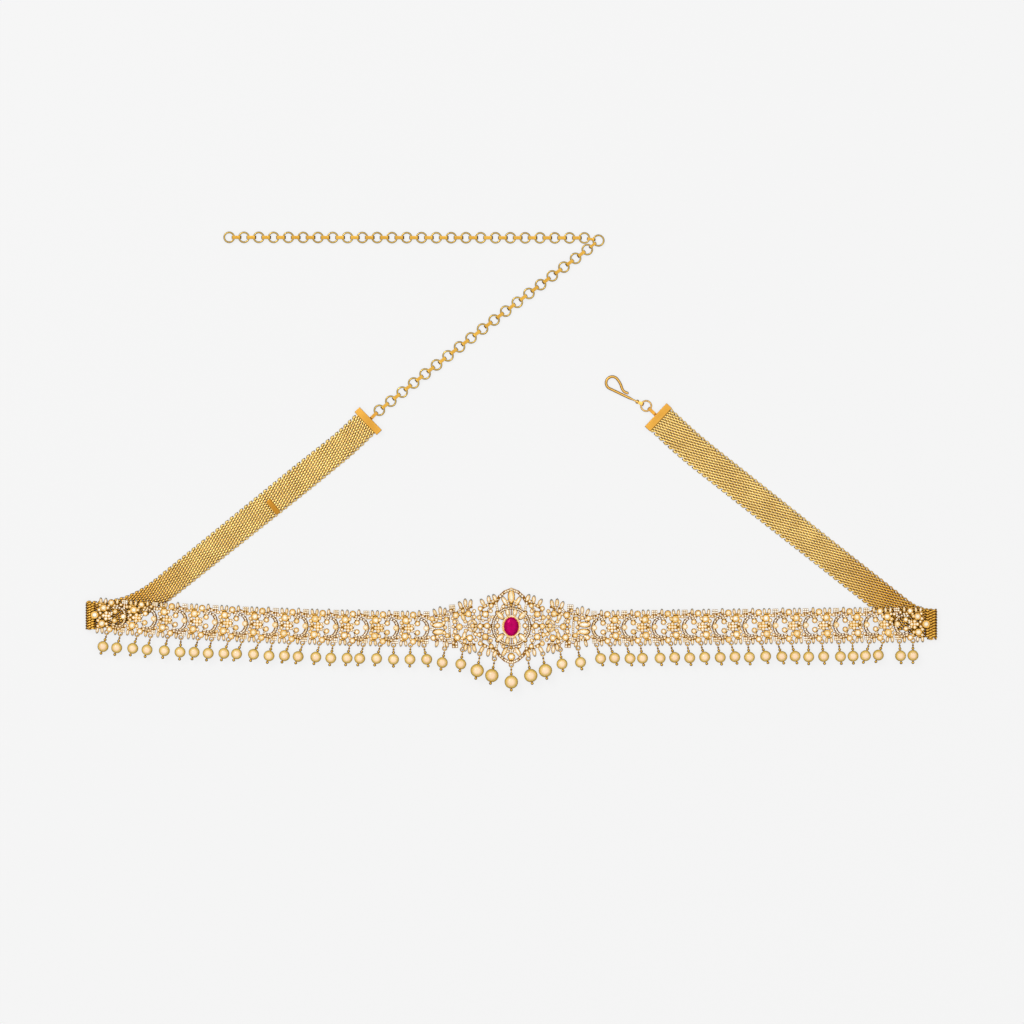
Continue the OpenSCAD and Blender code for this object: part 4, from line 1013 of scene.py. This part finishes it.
# Mesh bands
# Two straps of woven gold wire. Flattened coils lie side by side across a strap, each screwed into the
# next, and small loops bind their ends, which scallops the edges. At the panel's end each strap is
# folded under it, and then runs back towards the middle in a wide bend.
ROW_STEP = 1.23
COIL_PITCH = 1.15
COIL_R = 0.78
COIL_WIRE = 0.76
COIL_TURNS = 10
EDGE_LOOP_R = 0.6
EDGE_LOOP_WIRE = 0.54
FOLD_REACH = {LEFT: 3.3, RIGHT: 4.2}
UPPER_GAP = 0.5
FOLD_R = LIFT / 2
RAMP, RAMP_FLAT = 8.0, 2.2
RAMP_RISE = 0.45
IN_CAP = 0.5
# How far from the belt's middle the painted shade on the mesh begins, and where it is full
SHADE_FROM, SHADE_TO = 126, 150
FOLD_SHADE = (0.8, 0.64, 0.34, 1.0)
# Straight and curved legs of each strap from its fold to its cap. Columns: length, turn
BAND_LEGS = {
    LEFT: [(0.9, 0), (45 * radians(38.7), radians(38.7)), (90, 0), (9, radians(5.4)), (RAMP, 0)],
    RIGHT: [(0.5, 0), (20 * radians(38.2), radians(38.2)), (99.4, 0), (17.8, radians(4.9)), (RAMP, 0)]}
BAND_WIDTH = {LEFT: 11.8, RIGHT: 12.7}
# Where the straps are drawn narrower. Columns: share of the length, share of the width
NARROWING = {
    LEFT: [(0.02, 1), (0.15, 0.91), (0.4, 0.94), (0.75, 1), (0.92, 0.96)],
    RIGHT: [(0.02, 1), (0.15, 0.955), (0.4, 0.955), (0.6, 0.975), (0.92, 0.99)]}


def along(place, legs, way):
    """The place, as x, y and heading, that lies a way along straight and curved legs."""
    x, y, heading = place
    for length, turn in legs:
        step = min(way, length)
        bend = turn * step / length
        chord = step if turn == 0 else 2 * length / turn * sin(bend / 2)
        x, y = x + chord * cos(heading + bend / 2), y + chord * sin(heading + bend / 2)
        heading += bend
        way -= step
        if way <= 0:
            break
    return x, y, heading


def ends_closed():
    """Fills the open ends of the open piece and turns its faces outwards."""
    bpy.ops.mesh.select_all(action="SELECT")
    bpy.ops.mesh.fill_holes(sides=0)
    turned_outwards()


def strap_start(side):
    """The fold, as if the strap were the left one."""
    end = hinge(side, UNITS)
    return -end.x - FOLD_REACH[side], end.y, 0.0


def facing(side, place):
    """Turns a place of the left half into a standpoint on its own side, without mirroring it."""
    x, y, heading = place
    return (Matrix.Translation((-side * x, y, 0))
            @ Matrix.Rotation(heading if side == LEFT else pi - heading, 4, "Z"))


def strap_length(side):
    """From the fold to the cap, along the bends."""
    return sum(length for length, turn in BAND_LEGS[side])


def strap_place(side, way):
    """A row's own axes: x along the strap, y across and z up from the middle of its thickness."""
    upper = FOLD_REACH[side] - UPPER_GAP
    turn = max(0.0, min(pi, (way - upper) / FOLD_R))
    ground = max(0.0, way - upper - pi * FOLD_R)
    up_ramp = (ground - strap_length(side) + RAMP - IN_CAP) / (RAMP - RAMP_FLAT)
    climb = RAMP_RISE * max(0.0, min(1.0, up_ramp))
    shift = max(0.0, upper - way) - FOLD_R * sin(turn)
    height = (BAND_T + LIFT) / 2 + FOLD_R * cos(turn) + climb
    return (facing(side, along(strap_start(side), BAND_LEGS[side], ground))
            @ Matrix.Translation((shift, 0, height)) @ Matrix.Rotation(pi - turn, 4, "Y"))


def strap_width(side, share):
    """The width at a share of the strap's length."""
    shares, widths = zip(*NARROWING[side])
    return BAND_WIDTH[side] * interp(share, shares, widths)


mesh_gold = cast_gold("woven mesh gold", "#e5c476", "#b08a38", "#553b08", roughness=0.15)
# Towards the folds, under the ends of the panel, the straps' colour is darkened and browned: painted shade
tree = mesh_gold.node_tree
shader = tree.nodes["Principled BSDF"]
across = node(tree, "SeparateXYZ", {0: node(tree, "TexCoord").outputs["Object"]}).outputs["X"]
outwards = node(tree, "Math", {0: across}, operation="ABSOLUTE").outputs[0]
shade_share = node(tree, "MapRange", {0: outwards, 1: SHADE_FROM * MM, 2: SHADE_TO * MM}).outputs[0]
unshaded = shader.inputs["Base Color"].links[0].from_socket
wired(tree, shader, {"Base Color": multiplied(tree, shade_share, unshaded, FOLD_SHADE)})

# Coil, its axis across the strap, pressed to the strap's thickness
start("circle", vertices=6, radius=COIL_WIRE / 2)
bpy.ops.transform.translate(value=(COIL_R, 0, 0))
bpy.ops.object.mode_set(mode="OBJECT")
modified("SCREW", axis="Y", angle=2 * pi, screw_offset=COIL_PITCH, iterations=COIL_TURNS, steps=10,
         render_steps=10)
bpy.ops.object.mode_set(mode="EDIT")
ends_closed()
coil = blank("coil", mesh_gold, 60)
coil.data.transform(Matrix.Diagonal((1, 1, BAND_T / (2 * COIL_R + COIL_WIRE), 1))
                    @ Matrix.Translation((0, -COIL_PITCH * COIL_TURNS / 2, 0)))

# Half-round loop of wire at the edge, open towards the strap
start_ring(EDGE_LOOP_R, EDGE_LOOP_WIRE / 2, 16, 6)
pick(lambda c: c.y < -0.01, "FACE")
bpy.ops.mesh.delete(type="FACE")
ends_closed()
edge_loop = blank("edge_loop", mesh_gold, 60)

for word, side in SIDES.items():
    whole = FOLD_REACH[side] - UPPER_GAP + pi * FOLD_R + strap_length(side) + IN_CAP
    half_row = COIL_R + COIL_WIRE / 2
    count = round((whole - 2 * half_row) / ROW_STEP)
    rows = []
    for i in range(count + 1):
        way = half_row + (whole - 2 * half_row) * i / count
        width = strap_width(side, way / whole)
        stretch = (width - 1.5 * EDGE_LOOP_R) / (COIL_PITCH * (COIL_TURNS + 0.5))
        stagger = COIL_PITCH / 4 * (1 if i % 2 else -1)
        place = strap_place(side, way)
        rows.append(copied(coil, place @ Matrix.Diagonal((1, stretch, 1, 1))
                           @ Matrix.Translation((0, stagger, 0))))
        if i % 2:
            for edge in (1, -1):
                inset = width / 2 - EDGE_LOOP_R - EDGE_LOOP_WIRE / 2
                rows.append(copied(edge_loop, place @ Matrix.Rotation(0 if edge > 0 else pi, 4, "Z")
                                   @ Matrix.Translation((0, inset, 0))))
    hung(fused(f"{word}_woven_mesh", rows), "mesh_gold", f"{word}_band")
thrown_away(coil, edge_loop)

# Joining bar
# A small flat bar of redder gold, soldered across the left strap where two lengths of mesh meet.
BAR_SIZE = (2.0, 6.6, 0.5)
# Where the bar lies: its share of the long straight leg, back from the leg's end, and how far it is
# aside of the strap's middle and above its wires
BAR_SHARE, BAR_ASIDE, BAR_CLEAR = 0.38, 1.8, 0.1
bar_gold = cast_gold("red gold solder bar", "#b07c2c", "#8c5e1c", "#4f280a", roughness=0.36)
start("cube", size=1)
bpy.ops.transform.resize(value=BAR_SIZE)
bpy.ops.mesh.bevel(offset=0.14, segments=2)
joint = blank("joining_strip", bar_gold, 40)
straight, last_bend = BAND_LEGS[LEFT][2][0], BAND_LEGS[LEFT][3][0]
way = strap_length(LEFT) - RAMP - last_bend - straight * BAR_SHARE
joint.data.transform(facing(LEFT, along(strap_start(LEFT), BAND_LEGS[LEFT], way))
                     @ Matrix.Translation((0, -BAR_ASIDE, BAND_T + BAR_CLEAR + BAR_SIZE[2] / 2)))
hung(joint, "cap_gold", "joining_bar")

# End caps
# A block of satin yellow gold closes each strap, which is held in a slot in it, and a loop bent from
# strip stands out of its middle for the chain or the hook.
CAP_SIZE = (2.9, 12.8, 2.2)
SLOT_DEPTH = 2.05
SLOT_PLAY = 0.12
STRIP_T = 0.35
STRIP_H = 1.7
# The gap between a strip loop and the wire that it holds, and between a cap and a loop's opening
STRIP_GAP, STRIP_OUT = 0.12, 0.15
LINK_WIDTH = 1.3
RING_D, RING_WIRE = 4.64, 0.7
JUMP_D, JUMP_WIRE = 4.8, 0.7
CAP_TO_RING = {LEFT: 6.2, RIGHT: 6.6}
cap_gold = cast_gold("satin cap gold", "#d09c46", "#bc882f", "#74460c", roughness=0.34, grain_mm=0.2,
                     bump=0.2)


def reach_in(outer, wire, width):
    """How far a strip loop may reach into a ring before it meets the wire."""
    return sqrt((outer / 2 - wire) ** 2 - width ** 2 / 4) - STRIP_GAP


def strip_loop(name, inner, width, material):
    """A loop bent from strip, standing on edge along x, whose opening starts at x = 0."""
    start("circle", vertices=24, radius=STRIP_H / 2, rotation=(pi / 2, 0, 0),
          location=(STRIP_H / 2 - STRIP_T, -width / 2, STRIP_H / 2))
    pick(lambda c: c.x > STRIP_H / 2 - STRIP_T + 0.01, "VERT")
    bpy.ops.transform.translate(value=(inner + 2 * STRIP_T - STRIP_H, 0, 0))
    bpy.ops.mesh.select_all(action="SELECT")
    drawn_out((0, width, 0))
    turned_outwards()
    bpy.ops.object.mode_set(mode="OBJECT")
    modified("SOLIDIFY", thickness=STRIP_T, offset=-1)
    rounded(0.15, 3)
    return blank(name, material, 40)


start("cube", size=1)
bpy.ops.transform.resize(value=(SLOT_DEPTH + CAP_SIZE[0] / 2, 2 * CAP_SIZE[1], BAND_T + 2 * SLOT_PLAY))
cutter = blank("cutter", cap_gold)
cutter.location = (-CAP_SIZE[0] + (SLOT_DEPTH + CAP_SIZE[0] / 2) / 2, 0, RAMP_RISE + BAND_T / 2)
start("cube", size=1, location=(0, 0, CAP_SIZE[2] / 2))
bpy.ops.transform.resize(value=CAP_SIZE)
bpy.ops.object.mode_set(mode="OBJECT")
modified("BOOLEAN", object=cutter, operation="DIFFERENCE", solver="EXACT")
rounded(0.16, 3)
block = blank("block", cap_gold, 40)
for word, side in SIDES.items():
    ring = (RING_D, RING_WIRE) if side == LEFT else (JUMP_D, JUMP_WIRE)
    loop_start = CAP_SIZE[0] / 2 + STRIP_OUT
    opening = CAP_TO_RING[side] - reach_in(*ring, LINK_WIDTH) - loop_start
    loop = strip_loop("loop", opening, LINK_WIDTH, cap_gold)
    place = facing(side, along(strap_start(side), BAND_LEGS[side], strap_length(side)))
    cap = fused(f"{word}_end_cap", [copied(block, place), copied(loop, place @ at(loop_start, 0))])
    hung(cap, "cap_gold", f"{word}_cap")
    thrown_away(loop)
thrown_away(block, cutter)

# Extension chain
# Round rings of drawn wire, soldered shut, joined by broad links bent from strip. The chain slants
# up from the left cap, turns at a slightly larger ring and comes back level.
SLANT_RINGS, LEVEL_RINGS = 19, 25
SLANT_PITCH, LEVEL_PITCH = 5.84, 5.92
SLANT_HEADING, LEVEL_HEADING = radians(37.7), radians(179.9)
SLANT_BOW = 0.5
CORNER_STEP = 5.75
CORNER_HEADING, CORNER_EXIT = radians(39), radians(169.5)
CORNER_D = 4.9
CORNER_LINK_WIDTH = 1.0
chain_gold = cast_gold("chain strip gold", "#d6a84a", "#a47a28", "#55390b", roughness=0.18)
wire_gold = cast_gold("drawn ring wire", "#d2b25e", "#987a34", "#443411", roughness=0.16)


def ring_blank(name, outer, wire, material):
    """A ring lying flat, its middle at the origin."""
    start_ring((outer - wire) / 2, wire / 2, 36, 10)
    return blank(name, material, 80)


def onwards(point, length, heading):
    """The point on the ground that lies a length away in a heading."""
    return Vector((point.x + length * cos(heading), point.y + length * sin(heading), 0))


x, y, heading = along(strap_start(LEFT), BAND_LEGS[LEFT], strap_length(LEFT))
first_ring = onwards(Vector((x, y, 0)), CAP_TO_RING[LEFT], heading)
middles = []
for i in range(SLANT_RINGS):
    bow = SLANT_BOW * sin(pi * i / (SLANT_RINGS - 1))
    in_line = onwards(first_ring, i * SLANT_PITCH, SLANT_HEADING)
    middles.append(onwards(in_line, bow, SLANT_HEADING + pi / 2))
middles.append(onwards(middles[-1], CORNER_STEP, CORNER_HEADING))
first_level = onwards(middles[-1], CORNER_STEP, CORNER_EXIT)
middles += [onwards(first_level, i * LEVEL_PITCH, LEVEL_HEADING) for i in range(LEVEL_RINGS)]

plain_ring = ring_blank("plain_ring", RING_D, RING_WIRE, wire_gold)
corner_ring = ring_blank("corner_ring", CORNER_D, RING_WIRE, wire_gold)
reach = reach_in(RING_D, RING_WIRE, LINK_WIDTH)
plain_link = strip_loop("plain_link", SLANT_PITCH - 2 * reach, LINK_WIDTH, chain_gold)
reaches = (reach_in(RING_D, RING_WIRE, CORNER_LINK_WIDTH), reach_in(CORNER_D, RING_WIRE, CORNER_LINK_WIDTH))
corner_link = strip_loop("corner_link", CORNER_STEP - sum(reaches), CORNER_LINK_WIDTH, chain_gold)
runs = {"chain_slant": [], "chain_level": []}
for i, middle in enumerate(middles):
    run = runs["chain_slant" if i < SLANT_RINGS else "chain_level"]
    source = corner_ring if i == SLANT_RINGS else plain_ring
    turned = Matrix.Rotation(2.4 * i, 4, "Z")
    run.append(copied(source, Matrix.Translation((middle.x, middle.y, STRIP_H / 2)) @ turned))
    if i + 1 < len(middles):
        step = middles[i + 1] - middle
        by_corner = SLANT_RINGS - 1 <= i <= SLANT_RINGS
        link = corner_link if by_corner else plain_link
        gone = reaches[i - SLANT_RINGS + 1] if by_corner else reach
        size = 1 if by_corner else (step.length - 2 * reach) / (SLANT_PITCH - 2 * reach)
        place = Matrix.Translation(middle) @ Matrix.Rotation(atan2(step.y, step.x), 4, "Z")
        run.append(copied(link, place @ at(gone, 0, 0, 0, (size, 1, 1))))
for word, run in runs.items():
    hung(fused(f"{word}_links", run), "chain_gold", word)
thrown_away(plain_ring, corner_ring, plain_link, corner_link)

# Hook
# Round wire, drawn thinner at its neck, bent into an open hook with a small lip and rounded at its end.
# A collar joins it to an eye bent from strip, and a jump ring joins that to the right cap.
HOOK_HEADING = radians(25.5)
HOOK_EYE = 1.9
HOOK_WIRE = 1.1
NECK_D = 0.7
NECK_LEN = 2.4
NECK_START = HOOK_EYE + 0.15
COLLAR_D = 1.6
COLLAR_LEN = 0.9
COLLAR_START = HOOK_EYE + 0.2
# The wire's legs after the neck. Columns: length, turn, share of the wire's thickness at their end
HOOK_LEGS = [
    (1.5, 0, 1), (8.8, 0, 1), (2.5 * radians(203), radians(203), 1), (8.5 * radians(23), radians(23), 1),
    (1, 0, 1), (2.7 * radians(57), -radians(57), 1), (0.3, 0, 1), (0.3, 0, 0.85), (0.2, 0, 0.4)]

hook_gold = cast_gold("bent hook wire", "#f0c470", "#c4943a", "#644210", roughness=0.32)
jump = ring_blank("jump_ring_wire", JUMP_D, JUMP_WIRE, hook_gold)
x, y, heading = along(strap_start(RIGHT), BAND_LEGS[RIGHT], strap_length(RIGHT))
jump_middle = onwards(Vector((x, y, 0)), CAP_TO_RING[RIGHT], heading)
jump.data.transform(on_side(LEFT) @ Matrix.Translation((jump_middle.x, jump_middle.y, STRIP_H / 2)))
jump.data.flip_normals()
hung(jump, "chain_gold", "jump_ring")

start("circle", vertices=14, radius=NECK_D / 2, rotation=(0, pi / 2, 0))
drawn_out((NECK_LEN, 0, 0))
place, thickness = (NECK_LEN, 0.0, 0.0), NECK_D / HOOK_WIRE
for length, turn, share in HOOK_LEGS:
    x, y, heading = place
    if turn:
        radius = length / turn
        middle = (x - radius * sin(heading), y + radius * cos(heading), 0)
        bpy.ops.mesh.spin(steps=ceil(abs(turn) / radians(9)), angle=-turn, center=middle, axis=(0, 0, 1))
    else:
        drawn_out((length * cos(heading), length * sin(heading), 0))
    place = along(place, [(length, turn)], length)
    if share != thickness:
        bpy.ops.transform.resize(value=(share / thickness,) * 3)
        thickness = share
ends_closed()
wire = blank("wire", hook_gold, 60)
start("cylinder", vertices=20, radius=COLLAR_D / 2, depth=COLLAR_LEN, rotation=(0, pi / 2, 0),
      location=(COLLAR_LEN / 2, 0, 0))
bpy.ops.object.mode_set(mode="OBJECT")
rounded(0.15, 3)
collar = blank("collar", hook_gold, 40)
eye = strip_loop("eye", HOOK_EYE, LINK_WIDTH, hook_gold)
place = (on_side(LEFT) @ Matrix.Translation(jump_middle) @ Matrix.Rotation(HOOK_HEADING, 4, "Z")
         @ at(reach_in(JUMP_D, JUMP_WIRE, LINK_WIDTH), 0))
hook = fused("wire_hook", [
    copied(eye, place), copied(wire, place @ at(NECK_START, 0, STRIP_H / 2)),
    copied(collar, place @ at(COLLAR_START, 0, STRIP_H / 2))])
hung(hook, "chain_gold", "hook")
thrown_away(wire, collar, eye)

# The CAD's solids, each of which a piece above replaces, wear the panel's gold
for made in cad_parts.values():
    made.data.materials.clear()
    made.data.materials.append(panel_gold)
